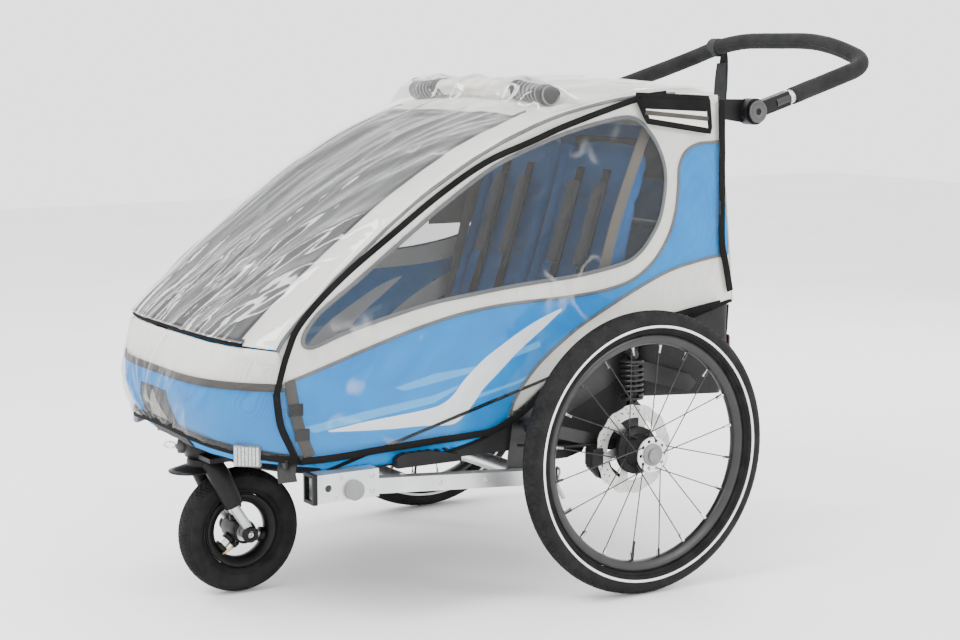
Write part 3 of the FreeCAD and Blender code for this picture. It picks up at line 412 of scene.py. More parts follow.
def band(width, thick):
    w, t, e = width / 2, thick / 2, min(thick, width) * 0.3
    return [(-w + e, -t), (w - e, -t), (w, -t + e), (w, t - e), (w - e, t), (-w + e, t),
            (-w, t - e), (-w, -t + e)]


def curve_pts(points, per=8, closed=False):
    """Catmull-Rom samples through points of any dimension."""
    n = len(points)
    out = []
    for i in range(n if closed else n - 1):
        q = [points[(i + j) % n] if closed else points[max(0, min(n - 1, i + j))]
             for j in (-1, 0, 1, 2)]
        for s in range(per):
            t = s / per
            out.append(tuple(
                0.5 * (2 * b + (c - a) * t + (2 * a - 5 * b + 4 * c - d) * t * t
                       + (3 * b - a - 3 * c + d) * t ** 3)
                for a, b, c, d in zip(*q)))
    if not closed:
        out.append(tuple(points[-1]))
    return out


def lathe(name, profile, mat, centre, steps=96, axis="x", shape=None):
    """Turns an (along, radius) outline about an axis through centre."""
    verts = []
    for a in around(steps):
        for j, (u, r) in enumerate(profile):
            if shape:
                r += shape(a, j)
            c, s = r * math.cos(a), r * math.sin(a)
            p = {"x": (u, c, s), "z": (c, s, u), "y": (c, u, s)}[axis]
            verts.append(tuple(p[m] + centre[m] for m in range(3)))
    faces = [(a, d, c, b) for a, b, c, d in quads(steps, len(profile), True)]
    return add(name, verts, faces, mat)


def block(name, one, other, mat, edge=0.002):
    """Box between two opposite corners, with rounded edges."""
    lo, hi = zip(*(sorted(pair) for pair in zip(one, other)))
    verts = [(x, y, z) for x in (lo[0], hi[0]) for y in (lo[1], hi[1]) for z in (lo[2], hi[2])]
    faces = [(0, 1, 3, 2), (4, 6, 7, 5), (0, 4, 5, 1), (2, 3, 7, 6), (0, 2, 6, 4), (1, 5, 7, 3)]
    return soften(add(name, verts, faces, mat), edge, 3)


def inside(p, poly):
    hit = False
    j = len(poly) - 1
    for i in range(len(poly)):
        (ay, az), (by, bz) = poly[i], poly[j]
        if (az > p[1]) != (bz > p[1]) and p[0] < (by - ay) * (p[1] - az) / (bz - az) + ay:
            hit = not hit
        j = i
    return hit


def fill(name, outline, mats, place, holes=(), step=0.012, lines=(), loops=(), pick=None):
    """Sheet cut to a flat outline and laid on a surface by place(a, b).

    Lines and loops are edges drawn inside it, and pick(centre) chooses each face's material.
    """
    pts, edges = [], []
    for loop in (outline, *holes, *loops):
        start = len(pts)
        for p, q in zip(loop, [*loop[1:], loop[0]]):
            pts += even_steps(p, q, max(1, int(math.dist(p, q) / step)))
        size = len(pts) - start
        edges += [(start + i, start + (i + 1) % size) for i in range(size)]
    for a, b in lines:
        pts += [a, b]
        edges.append((len(pts) - 2, len(pts) - 1))

    def kept(p):
        return inside(p, outline) and not any(inside(p, h) for h in holes)

    lo, hi = ([f(p[i] for p in outline) for i in (0, 1)] for f in (min, max))
    for i in range(int((hi[0] - lo[0]) / step) + 1):
        for j in range(int((hi[1] - lo[1]) / step) + 1):
            p = (lo[0] + (i + 0.5 * (j % 2)) * step, lo[1] + j * step)
            if kept(p):
                pts.append(p)
    v, _, f, _, _, _ = delaunay_2d_cdt([Vector(p) for p in pts], edges, [], 0, 1e-5)
    keep, slots = [], []
    for tri in f:
        c = (sum(v[k][0] for k in tri) / 3, sum(v[k][1] for k in tri) / 3)
        if kept(c):
            keep.append(tri)
            slots.append(pick(c) if pick else 0)
    used = sorted({k for t in keep for k in t})
    where = {k: i for i, k in enumerate(used)}
    ob = add(name, [place(*v[k]) for k in used], [[where[k] for k in t] for t in keep], mats)
    ob.data.polygons.foreach_set("material_index", slots)
    return ob


def mm(points):
    return [tuple(c / 1000 for c in p) for p in points]


def cut_area(outline_, holes=()):
    """Area of a flat piece from its outline, less its holes."""
    def shoelace(q):
        return abs(sum(a[0] * b[1] - b[0] * a[1] for a, b in zip(q, q[1:] + q[:1]))) / 2
    return shoelace(list(outline_)) - sum(shoelace(list(h)) for h in holes)


def soft(ob, *nodes, slot=None, keep=0.45, flat=None, held="stretched", cut=None):
    """A soft cabin piece: rides on the chassis, gets its own mesh, and hides the CAD nodes it
    stands in for.
    """
    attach(ob, "chassis")
    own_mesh(ob)
    if nodes:
        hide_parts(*nodes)
    return ob


def part(ob, body, *nodes, slot=None):
    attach(ob, body)
    if nodes:
        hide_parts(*nodes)
    return ob

# ------------------------------------------------------------------ cabin skin

NOSE = mm([(-500, 263, -98, 0), (-530, 285, -110, 0), (-552, 330, -116, 0), (-563, 375, -116, 0),
           (-571, 430, -98, 3), (-585, 468, -62, 6)])
TOP = mm([(-585, 472, -60, 6), (-569, 495, -46, 11), (-524, 539, -30, 15), (-480, 582, -22, 16),
          (-423, 629, -15, 16), (-355, 682, -10, 16), (-305, 716, -8, 16), (-207, 773, -6, 15),
          (-128, 808, -4, 13), (-47, 837, -2, 12), (47, 858, 0, 12), (120, 868, 0, 11),
          (200, 872, 0, 10), (290, 870, 0, 8)])
FLANK = mm([(-500, 263), (-527, 285), (-549, 330), (-560, 375), (-568, 430), (-582, 468)]
           + [(p[0] * 1000 + 2, p[1] * 1000 - 4) for p in TOP[1:-1]]
           + [(300, 864), (342, 484), (300, 476), (200, 455), (60, 420), (-40, 385),
              (-120, 330), (-200, 285), (-325, 263)])
WINDOW = mm([(-537, 485), (-509, 525), (-437, 575), (-345, 642), (-257, 702), (-173, 752),
             (-93, 783), (-30, 803), (53, 822), (112, 826), (152, 796), (177, 754), (184, 711),
             (175, 656), (155, 619), (122, 585), (82, 569), (-9, 555), (-111, 548), (-203, 539),
             (-293, 529), (-375, 512), (-460, 491), (-521, 471)])
CREAM_LOW = mm([(-577, 415), (-544, 423), (-488, 440), (-404, 466), (-317, 490), (-233, 507),
                (-136, 516), (-35, 519), (43, 525), (109, 540), (156, 570), (189, 612),
                (206, 655), (212, 699), (214, 737), (228, 764), (255, 777), (286, 779),
                (330, 782)])
BAND_TOP = mm([(345, 577), (323, 574), (259, 566), (190, 551), (123, 525), (57, 494), (-8, 461),
               (-72, 418), (-110, 381), (-135, 345), (-150, 300)])
SWOOSH = mm([(-36, 500), (-60, 480), (-83, 463), (-110, 444), (-135, 425), (-166, 398),
             (-197, 372), (-215, 350), (-234, 331), (-249, 320), (-270, 317), (-317, 321),
             (-376, 322), (-433, 325), (-494, 330), (-462, 335), (-419, 340), (-347, 345),
             (-297, 350), (-273, 357), (-255, 369), (-240, 386), (-218, 406), (-191, 427),
             (-160, 445), (-123, 466), (-83, 485)])
STREAKS = [mm([(-370, 391), (-293, 408), (-212, 413), (-83, 447), (-82, 436), (-197, 406),
               (-287, 393), (-352, 384)]),
           mm([(-537, 341), (-433, 356), (-296, 371), (-244, 384), (-250, 377), (-294, 358),
               (-405, 345), (-518, 330)]),
           mm([(-212, 363), (-135, 379), (-82, 396), (-82, 391), (-129, 375), (-209, 357)])]
COVER_SEAM = mm([(-588, 400), (-568, 470), (-542, 517), (-470, 582), (-374, 649), (-286, 708),
                 (-197, 758), (-106, 791), (-37, 816), (53, 843), (125, 862), (178, 868)])
COVER_HEM = mm([(-546, 288), (-490, 287), (-405, 291), (-318, 294), (-228, 296), (-182, 300),
                (-141, 316), (-110, 334), (-60, 372), (0, 410), (70, 440), (160, 462), (240, 476),
                (306, 486)])


def station(table, u):
    last = len(table) - 1
    k = min(int(u * last), last - 1)
    t = u * last - k
    q = [table[max(0, min(last, k + j))] for j in (-1, 0, 1, 2)]
    out = []
    for a, b, c, d in zip(*q):
        m0, m1 = (c - a) / 2, (d - b) / 2
        out.append((2 * t ** 3 - 3 * t * t + 1) * b + (t ** 3 - 2 * t * t + t) * m0
                   + (-2 * t ** 3 + 3 * t * t) * c + (t ** 3 - t * t) * m1)
    return out


def skin_at(table, u, x, off=0.0):
    y, z, by, bz = station(table, u)
    ya, za = station(table, max(u - 1e-3, 0))[:2]
    yb, zb = station(table, min(u + 1e-3, 1))[:2]
    size = math.hypot(yb - ya, zb - za)
    share = 1 - min(abs(x) / HALF, 1.0) ** 4
    return Vector((x, y + by * share - (zb - za) / size * off,
                   z + bz * share + (yb - ya) / size * off))


def skin(name, table, u0, u1, x0, x1, mat, off=0.0, rows=60, cols=60, lift=None, thick=0.0012):
    """Sheet on the cabin's skin; lift(u, x, point) gives extra height in metres."""
    verts = []
    for i in range(rows + 1):
        flat_u = 0 if callable(u0) else u0 + (u1 - u0) * i / rows
        a = x0(flat_u) if callable(x0) else x0
        b = x1(flat_u) if callable(x1) else x1
        for j in range(cols + 1):
            x = a + (b - a) * j / cols
            u = u0(x) + (u1 - u0(x)) * i / rows if callable(u0) else flat_u
            p = skin_at(table, u, x, off)
            verts.append(skin_at(table, u, x, off + lift(u, x, p)) if lift else p)
    turned = -1 if verts[0].x > verts[cols].x else 1
    faces = [quad[::turned] for quad in quads(rows + 1, cols + 1, gap=1)]
    ob = add(name, verts, faces, mat)
    return thicken(ob, thick) if thick else ob


def ripple(p, size, depth, along=(1, 1, 1)):
    q = Vector((p[0] * along[0], p[1] * along[1], p[2] * along[2])) / size
    return depth * noise.noise(q)


def fold(p, size, depth, lean, squeeze=0.22):
    """Long sharp creases running along the lean direction (x, y)."""
    c, s = math.cos(lean), math.sin(lean)
    a, b = p[0] * c + p[1] * s, -p[0] * s + p[1] * c
    n = noise.noise(Vector((a / size * squeeze, b / size, 3.1)))
    m = noise.noise(Vector((a / size * squeeze * 2.1, b / size * 2.3, 9.7)))
    return depth * ((1 - abs(n) * 3.2) + 0.45 * (1 - abs(m) * 3.0))


def tube_on(name, path, r, mat, k=10, closed=False):
    return sweep(name, path, circle(r, k), mat, closed=closed)


def flat_on(name, path, width, thick, mat, up, closed=False):
    """Tape lying flat: up is the surface normal."""
    return sweep(name, path, band(width, thick), mat, closed=closed, up=up)


# front mesh, its cream borders with piping, and the solid roof
soft(skin("front_net", TOP, 0.015, 0.66, -0.222, 0.222, MESH, off=-0.002, rows=110, cols=80,
          lift=lambda u, x, p: ripple(p, 0.12, 0.003), thick=0.0008),
     "front_mesh", slot="dark_mesh", flat=(0.444, 0.78))


for s, side in SIDES:
    strip = skin("roof_border_" + side, TOP, 0.0, 0.70, s * 0.216, s * (HALF - 0.001), CREAM,
                 rows=120, cols=14, lift=lambda u, x, p: ripple(p, 0.05, 0.0022), thick=0.002)
    soft(strip, slot="cream_fabric", flat=(0.068, 0.80))
    inner = [skin_at(TOP, u / 100 * 0.66 + 0.012, s * 0.219, 0.001) for u in range(101)]
    soft(tube_on("net_piping_" + side, inner, 0.0026, BINDING))
roof = skin("roof_sheet", TOP, 0.655, 1.0, -HALF + 0.001, HALF - 0.001, CREAM, rows=70, cols=90,
            lift=lambda u, x, p: ripple(p, 0.09, 0.004) + ripple(p, 0.03, 0.0012), thick=0.002)
soft(roof, slot="cream_fabric", flat=(0.57, 0.40))

# nose: zip at the crease, cream band, grey line, blue lower part, dark middle patch
SPLIT = 0.72


def nose_line(u):
    return [skin_at(NOSE, u, -HALF + 0.002 + (2 * HALF - 0.004) * i / 80, 0.0015)
            for i in range(81)]


def nose_lift(u, x, p):
    return ripple(p, 0.10, 0.004) + ripple(p, 0.035, 0.0015) - 0.001


soft(skin("nose_band", NOSE, SPLIT, 0.985, -HALF + 0.001, HALF - 0.001, CREAM, rows=26, cols=90,
          lift=nose_lift, thick=0.002), "nose_panel", slot="cream_fabric", flat=(0.57, 0.08))
blue_low = skin("nose_lower", NOSE, lambda x: 0.09 + 0.10 * (1 - (x / HALF) ** 2), SPLIT,
                -HALF + 0.001, HALF - 0.001, BLUE, rows=44, cols=100, lift=nose_lift, thick=0.002)
soft(blue_low, slot="blue_fabric", flat=(0.57, 0.14))
soft(flat_on("nose_stripe", nose_line(SPLIT), 0.013, 0.0016, TAUPE,
             lambda i, p: (0, -1, 0.1)))
zip_path = [skin_at(TOP, 0.012, -0.232 + 0.464 * i / 90, 0.0026) for i in range(91)]
soft(flat_on("front_zip_tape", zip_path, 0.014, 0.0016, BINDING, lambda i, p: (0, -0.8, 0.6)))
teeth = []
for i in range(181):
    p = skin_at(TOP, 0.012, -0.230 + 0.460 * i / 180, 0.0042)
    q = (0.0010, 0.0022, 0.0012)
    teeth.append(block("tooth", [p[k] - q[k] for k in range(3)], [p[k] + q[k] for k in range(3)],
                       GREY, 0.0004))
soft(joined("front_zip_teeth", teeth))


def patch_x(side, wide_low, wide_high):
    return lambda u: side * (wide_low + (wide_high - wide_low) * (u - 0.12) / 0.50)


soft(skin("nose_patch", NOSE, 0.20, 0.62, patch_x(-1, 0.085, 0.055), patch_x(1, 0.085, 0.055),
          RIPSTOP, off=0.0022, rows=30, cols=30, lift=nose_lift, thick=0.001),
     flat=(0.15, 0.100))
soft(skin("nose_triangle", NOSE, 0.30, 0.60, lambda u: -0.05 * (0.62 - u) / 0.32,
          lambda u: 0.05 * (0.62 - u) / 0.32, LINING, off=0.0036, rows=20, cols=14,
          lift=nose_lift, thick=0.001))

# side panels cut into blue, cream, white and pale parts


def bulge(y, z):
    ends = min(1.0, max(0.0, (y + 0.58) / 0.12)) * min(1.0, max(0.0, (0.345 - y) / 0.1))
    wide = math.sin(math.pi * min(1, max(0, (z - 0.26) / 0.6)))
    return ends * (0.0035 * wide + 0.0022 * noise.noise(Vector((y * 9, z * 9, 1.7))))


def side_place(off):
    return lambda y, z: (HALF - 0.003 + off + bulge(y, z), y, z)


def along_lines(outline_, lines):
    """Keeps only the stretches of open lines that lie inside the outline."""
    out = []
    for line in lines:
        dense = curve_pts(line, 5)
        for a, b in zip(dense, dense[1:]):
            if inside(a, outline_) and inside(b, outline_):
                out.append((a, b))
    return out


WINDOW_S = curve_pts(WINDOW, 4, closed=True)
SWOOSH_S = curve_pts(SWOOSH, 3, closed=True)
CREAM_AREA = [tuple(p) for p in curve_pts(CREAM_LOW, 5)] + [(0.40, 0.95), (-0.70, 0.95),
                                                           (-0.70, 0.40)]
BAND_AREA = [tuple(p) for p in curve_pts(BAND_TOP, 5)] + [(-0.15, 0.20), (0.45, 0.20),
                                                         (0.45, 0.577)]


def side_pick(c):
    if inside(c, CREAM_AREA):
        return 1
    if inside(c, SWOOSH_S):
        return 2
    if inside(c, BAND_AREA):
        return 1
    return 3 if any(inside(c, s) for s in STREAKS) else 0


cuts = along_lines(FLANK, [CREAM_LOW, BAND_TOP])
for s, side in SIDES:
    panel = fill("side_cloth_left", FLANK, [BLUE, CREAM, WHITE, BLUE_LIGHT], side_place(0.0),
                 [WINDOW_S], 0.011, cuts, [SWOOSH_S, *STREAKS], side_pick)
    panel = thicken(panel, 0.0018)
    pane = fill("pane_left", WINDOW_S, TINTED, side_place(-0.0006))
    pieces = [panel, pane]
    rim_path = [side_place(0.0015)(*p) for p in WINDOW_S]
    pieces.append(flat_on("window_tape_left", rim_path, 0.007, 0.0022, PIPING,
                          lambda i, p: (1, 0, 0), closed=True))
    for i, line in enumerate((CREAM_LOW, BAND_TOP)):
        dense = [p for p in curve_pts(line, 8) if inside(p, FLANK)]
        pieces.append(flat_on("seam_%d_left" % i, [side_place(0.0014)(*p) for p in dense],
                              0.0055, 0.0020, PIPING, lambda i, p: (1, 0, 0)))
    ridge = [(HALF - 0.0015, p[0], p[1]) for p in curve_pts(FLANK[5:18], 6)]
    pieces.append(tube_on("edge_piping_left", ridge, 0.0030, PIPING))
    low = [(HALF - 0.001, p[0], p[1] + 0.001) for p in
           curve_pts(list(reversed(FLANK[20:])) + [FLANK[0]], 5)]
    pieces.append(tube_on("hem_left", low, 0.0028, BINDING))
    for ob in pieces:
        kind = ob.name.split("_left")[0]
        ob = on_side(ob, s, kind)
        if kind == "side_cloth":
            soft(ob, "side_panel_" + side, slot="blue_fabric", flat=(0.93, 0.61),
                 cut=cut_area(FLANK, [WINDOW_S]))
        elif kind == "pane":
            soft(ob, slot="tinted_film", flat=(0.73, 0.36), cut=cut_area(WINDOW_S))
            if s > 0:
                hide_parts("side_windows")
        else:
            soft(ob)

for s, side in SIDES:
    line_ = curve_pts(mm([(-563, 420), (-556, 380), (-545, 335), (-528, 292)]), 8)
    strap = [(s * (HALF + 0.0015), y, z) for y, z in line_]
    soft(flat_on("corner_strap_" + side, strap, 0.020, 0.0016, TAUPE, (s, 0, 0)))
    for k, (y, z) in enumerate(mm([(-553, 372), (-542, 330)])):
        soft(block("corner_buckle_%s_%d" % (side, k), (s * (HALF + 0.0016), y - 0.013, z - 0.010),
                   (s * (HALF + 0.0042), y + 0.013, z + 0.010), BLACK, 0.0012))

# ------------------------------------------------------------------ rolled cover and back

ROLL = curve_pts([(-0.240, -0.030, 0.866), (-0.12, -0.030, 0.8745), (0, -0.030, 0.877),
                  (0.12, -0.030, 0.8745), (0.240, -0.030, 0.866)], 22)
ROLL_R = 0.0118


def roll_section(k=40):
    """Slightly uneven outline of the rolled cloth."""
    return [((ROLL_R + 0.0006 * math.sin(3 * a)) * math.cos(a),
             (ROLL_R + 0.0006 * math.cos(5 * a)) * math.sin(a)) for a in around(k)]


def wrapped(name, path, mat, r, wobble):
    ob = sweep(name, path, [(x * r / ROLL_R, y * r / ROLL_R) for x, y in roll_section()], mat)
    for v in ob.data.vertices:
        n = noise.noise(Vector((v.co.x * 22, v.co.y * 60, v.co.z * 60)))
        v.co += Vector((0, n, 0.5 * n)) * wobble
    return ob


middle = [p for p in ROLL if abs(p[0]) < 0.135]
soft(wrapped("roll_middle", middle, CREAM, 0.0150, 0.0060), "rolled_cover", slot="cream_fabric")
for s, side in SIDES:
    ends = [p for p in ROLL if s * p[0] >= 0.125]
    soft(wrapped("roll_end_" + side, ends, BINDING, 0.0150, 0.0040))
    coil = []
    for i in range(241):
        t = i / 240
        p = ends[min(len(ends) - 1, int(t * (len(ends) - 1)))]
        a = 2 * math.pi * 9 * t
        x = ends[0][0] + (ends[-1][0] - ends[0][0]) * t
        coil.append((x, p[1] + 0.0152 * math.cos(a), p[2] + 0.0152 * math.sin(a)))
    soft(tube_on("roll_zip_" + side, coil, 0.0019, GREY, 8))
    for k, f in enumerate((0.30, 0.78)):
        c = ROLL[int((len(ROLL) - 1) * (0.5 + s * 0.5 * (0.55 + 0.35 * k)))]
        ring = [(c[0], c[1] + a, c[2] + b) for a, b in circle(0.0172, 24)]
        soft(flat_on("roll_tie_%d_%s" % (k, side), ring, 0.012, 0.0016, STRAP_BLACK,
                     lambda i, p, c=c: (0, p[1] - c[1], p[2] - c[2]), closed=True))


def rear_point(x, z, off=0.0):
    """Point of the rear panel, which slopes from the roof edge to the bag."""
    t = (0.868 - z) / (0.868 - 0.478)
    n = Vector((0, 1, 0.1)).normalized() * off
    return Vector((x, 0.306 + 0.039 * t, z)) + n


def rear_lift(x, z):
    return 0.002 * noise.noise(Vector((x * 9, 4.2, z * 9))) + 0.004 * math.exp(
        -((abs(x) - 0.12) / 0.10) ** 2) * math.sin(math.pi * min(1, max(0, (z - 0.5) / 0.35)))


def rear_pick(c):
    x, z = abs(c[0]), c[1]
    if z > 0.80 or x > 0.245:
        return 1
    return 2 if 0.70 < z < 0.775 and x < 0.19 else 0


rear_out = [(-0.283, 0.486), (0.283, 0.486), (0.283, 0.800), (0.262, 0.812), (0.262, 0.858),
            (-0.262, 0.858), (-0.262, 0.812), (-0.283, 0.800)]
rear_win = [(-0.19, 0.70), (0.19, 0.70), (0.175, 0.775), (-0.175, 0.775)]
rear_cuts = [((-0.245, 0.487), (-0.245, 0.80)), ((0.245, 0.487), (0.245, 0.80)),
             ((-0.27, 0.80), (0.27, 0.80))]
rear = fill("rear_cloth", rear_out, [BLUE, CREAM, MESH],
            lambda x, z: rear_point(x, z, -0.002 + rear_lift(x, z)), step=0.011,
            lines=rear_cuts, loops=[rear_win], pick=rear_pick)
soft(thicken(rear, 0.0018), "roof_panel", slot="blue_fabric", flat=(0.566, 0.375))
for i, path in enumerate(([(-0.245, 0.49), (-0.245, 0.80), (0.245, 0.80), (0.245, 0.49)],
                          rear_win + rear_win[:1])):
    dense = [q for a, b in zip(path, path[1:]) for q in [*even_steps(a, b, 14), b]]
    soft(flat_on("rear_tape_%d" % i,
                 [rear_point(x, z, rear_lift(x, z)) for x, z in dense], 0.007, 0.002, PIPING,
                 (0, 1, 0.1)))

# luggage bag: a sagging lofted shell with a flap and edge binding


def rounded_loop(w, y0, y1, r, k=7):
    pts = []
    for cx, cy, a0 in ((w - r, y1 - r, 0), (-w + r, y1 - r, 90), (-w + r, y0 + r, 180),
                       (w - r, y0 + r, 270)):
        for i in range(k):
            a = math.radians(a0 + 90 * i / (k - 1))
            pts.append((cx + r * math.cos(a), cy + r * math.sin(a)))
    out = []
    for a, b in zip(pts, pts[1:] + pts[:1]):
        n = max(1, int(math.dist(a, b) / 0.018))
        out += even_steps(a, b, n)
    return out


loop = rounded_loop(0.280, 0.137, 0.342, 0.022)
BAG_TOP = 0.484
levels = [BAG_TOP - 0.170 * i / 26 for i in range(27)]
verts = []
n = len(loop)
for li, z in enumerate(levels):
    t = li / 26
    for x, y in loop:
        tuck = 1 - 0.05 * t ** 3
        push = 0.0045 * math.sin(math.pi * t) * noise.noise(Vector((x * 8, y * 8, z * 14)))
        d = Vector((x, y - 0.24)).normalized()
        low = 0.012 * (0.340 - y) / 0.2 if t > 0.9 else 0
        verts.append((x * tuck + d.x * push, 0.24 + (y - 0.24) * (1 - 0.03 * t ** 3) + d.y * push,
                      z + low * (t - 0.9) * 10))
for ring in (0.8, 0.55, 0.3, 0.1):
    for x, y in loop:
        sag = 0.002 * noise.noise(Vector((x * 12, y * 12, 2)))
        verts.append((x * ring * 0.95, 0.24 + (y - 0.24) * ring * 0.97,
                      0.3165 + 0.012 * (0.34 - 0.24 - (y - 0.24) * ring) / 0.2 * 0.5 + sag))
bag = add("lower_bag", verts, quads(31, n) + lids(31, n)[1:], RIPSTOP)
soft(thicken(bag, 0.0016), "luggage_bag", slot="black_fabric", flat=(0.98, 0.46),
     held="hung", keep=BAG_KEEP)
rim = [(x, y, BAG_TOP) for x, y in loop]
soft(tube_on("bag_binding", rim, 0.003, BINDING, closed=True), keep=BAG_KEEP)
flap = fill("bag_flap", [(-0.262, 0.395), (0.262, 0.395), (0.268, 0.478), (-0.268, 0.478)],
            RIPSTOP, lambda x, z: (x, 0.3445 + 0.003 * noise.noise(Vector((x * 8, 1, z * 8))), z))
soft(thicken(flap, 0.0016), slot="black_fabric", flat=(0.53, 0.083), held="hung", keep=BAG_KEEP)

# ------------------------------------------------------------------ seats


def pad_block(name, outline_, x0, x1, mat, rows=9):
    """Rounded cushion blank: an outline in (y, z) swept from x0 to x1."""
    loop_ = curve_pts(outline_, 5, closed=True)
    cy = sum(p[0] for p in loop_) / len(loop_)
    cz = sum(p[1] for p in loop_) / len(loop_)
    verts, cols = [], rows * 2
    for i in range(cols + 1):
        t = -1 + 2 * i / cols
        x = (x0 + x1) / 2 + (x1 - x0) / 2 * t
        pull = 1 - 0.10 * abs(t) ** 6
        for y, z in loop_:
            verts.append((x, cy + (y - cy) * pull, cz + (z - cz) * pull))
    n, k = cols + 1, len(loop_)
    return add(name, verts, quads(n, k) + lids(n, k), mat)


def inflate(ob, pressure, cap):
    """Puffs the pad with a short cloth simulation and keeps moves under cap metres."""
    src = bpy.data.objects.new(ob.name + "_sim", ob.data.copy())
    bpy.context.scene.collection.objects.link(src)
    mod = src.modifiers.new("remesh", "REMESH")
    mod.mode = "VOXEL"
    mod.voxel_size = 0.006
    mod.use_smooth_shade = True
    bake(src)
    rest = [v.co.copy() for v in src.data.vertices]
    sim = src.modifiers.new("cloth", "CLOTH")
    sim.settings.quality = 5
    sim.settings.use_pressure = True
    sim.settings.uniform_pressure_force = pressure
    sim.settings.effector_weights.gravity = 0
    sim.settings.tension_stiffness = 12
    sim.settings.bending_stiffness = 0.6
    sim.point_cache.frame_start = 1
    sim.point_cache.frame_end = 20
    for f in range(1, 21):
        bpy.context.scene.frame_set(f)
        bpy.context.view_layer.update()
    bake(src)
    for v, r in zip(src.data.vertices, rest):
        d = v.co - r
        if d.length > cap:
            v.co = r + d * (cap / d.length)
    bpy.context.scene.frame_set(1)
    old = ob.data
    ob.data = src.data
    bpy.data.objects.remove(src)
    bpy.data.meshes.remove(old)
    return ob


def channels(ob, lines_, depth, width, axis_x=None):
    """Presses sewn lines into a pad; each line is ((y, z), (dy, dz)) or an x value."""
    for v in ob.data.vertices:
        normal = v.normal
        move = 0.0
        for (y, z), (dy, dz) in lines_:
            d = abs((v.co.y - y) * dz - (v.co.z - z) * dy)
            move = max(move, math.exp(-(d / width) ** 2))
        for x in axis_x or ():
            move = max(move, math.exp(-((v.co.x - x) / width) ** 2))
        v.co -= normal * depth * move
    ob.data.update()


CUSHION = mm([(-146, 336), (-150, 372), (-138, 384), (0, 388), (50, 390), (58, 384), (58, 340),
              (0, 334)])
BACK = mm([(60, 396), (42, 402), (82, 520), (122, 640), (160, 766), (184, 764), (150, 640),
           (120, 510), (90, 410)])
for s, side in SIDES:
    x0, x1 = (0.006, 0.248) if s > 0 else (-0.248, -0.006)
    mid = (x0 + x1) / 2
    seat = pad_block("seat_cushion_" + side, CUSHION, x0 + 0.004, x1 - 0.004, SEAT_BLUE)
    rest = pad_block("seat_back_" + side, BACK, x0 + 0.004, x1 - 0.004, SEAT_BLUE)
    inflate(seat, 4.0, 0.006)
    inflate(rest, 4.0, 0.006)
    channels(seat, [((-0.05, 0.38), (0, 1))], 0.004, 0.007, (mid,))
    channels(rest, [((0.10, 0.56), (0.94, -0.33)), ((0.13, 0.68), (0.94, -0.33))], 0.005, 0.007)
    for ob, node in ((seat, "seat_cushions"), (rest, "seat_backs")):
        mod = ob.modifiers.new("smooth", "SUBSURF")
        mod.levels = 1
        bake(ob)
        shade(ob, True)
        soft(ob, node, slot="seat_fabric", keep=SEAT_KEEP)
    for a in (-1, 1):
        line = [(mid + a * 0.108, p[0] - 0.004, p[1]) for p in curve_pts(BACK[1:5], 6)]
        soft(tube_on("seat_edge_%s_%d" % (side, a + 1), line, 0.010, SEAT_BLUE, 12), keep=SEAT_KEEP)
    # harness: two shoulder straps with pads, a crotch strap and a buckle
    for a in (-1, 1):
        line = [(mid + a * 0.042, y, z) for y, z in
                ((0.139, 0.729), (0.112, 0.643), (0.072, 0.52), (0.036, 0.43), (0.020, 0.408))]
        soft(flat_on("shoulder_strap_%s_%d" % (side, a + 1), curve_pts(line, 8), 0.024, 0.002,
                     STRAP_BLACK, (0, -1, 0.35)), "harnesses", slot="webbing", keep=SEAT_KEEP)
        pad = curve_pts([(mid + a * 0.042, y, z) for y, z in
                         ((0.124, 0.705), (0.100, 0.63), (0.076, 0.555))], 8)
        ob = flat_on("shoulder_pad_%s_%d" % (side, a + 1), pad, 0.032, 0.009, SEAT_GREY,
                     (0, -1, 0.35))
        soft(soften(ob, 0.003, 3, 50), keep=SEAT_KEEP)
    lap = curve_pts([(mid - 0.105, 0.040, 0.412), (mid - 0.05, 0.010, 0.402),
                     (mid, -0.005, 0.399), (mid + 0.05, 0.010, 0.402),
                     (mid + 0.105, 0.040, 0.412)], 8)
    soft(flat_on("lap_strap_" + side, lap, 0.024, 0.002, STRAP_BLACK, (0, -0.4, 1)), keep=SEAT_KEEP)
    between = curve_pts([(mid, -0.080, 0.393), (mid, -0.04, 0.397), (mid, -0.004, 0.402)], 6)
    soft(flat_on("crotch_strap_" + side, between, 0.024, 0.002, STRAP_BLACK, (0, 0, 1)),
         keep=SEAT_KEEP)
    ob = block("buckle_" + side, (mid - 0.021, -0.030, 0.4005), (mid + 0.021, 0.022, 0.4105),
               BLACK, 0.003)
    soft(ob, keep=SEAT_KEEP)

# side ties, and a pocket seen through the tinted film
for s, side in SIDES:
    strap = curve_pts([(s * 0.262, 0.172, 0.840), (s * 0.250, 0.10, 0.64), (s * 0.248, 0.05, 0.45)],
                      10)
    soft(flat_on("side_tie_" + side, strap, 0.022, 0.0018, LINING, (s, 0, 0)))
pocket = fill("inside_pocket", [(0.0, 0.0), (0.16, 0.0), (0.16, 0.10), (0.0, 0.10)], LINING,
              lambda a, b: (-0.274 + 0.004 * math.sin(a * 19), 0.02 + a, 0.60 + b))
soft(thicken(pocket, 0.0015), flat=(0.16, 0.10), held="hung")

# ------------------------------------------------------------------ rain cover


def film_lift(u, x, p):
    """Creases that run back and outward from the nose, and a tent over the roll."""
    edge = 1 - min(abs(x) / HALF, 1.0) ** 6
    lean = math.radians(60 - 90 * x)
    a = fold(p, 0.150, 0.0060, lean, 0.13) + fold(p, 0.070, 0.0022, lean + 0.30, 0.16)
    near_roll = math.exp(-((p[1] + 0.09) / 0.05) ** 2)
    c = near_roll * fold(p, 0.045, 0.0030, math.radians(20), 0.3)
    tent = 0.032 * math.exp(-((p[1] + 0.034) / 0.034) ** 4) * (
        1 - min(1.0, abs(x) / 0.283) ** 10)
    return max(-0.0035, min(0.0090, (a + c) * edge)) + tent


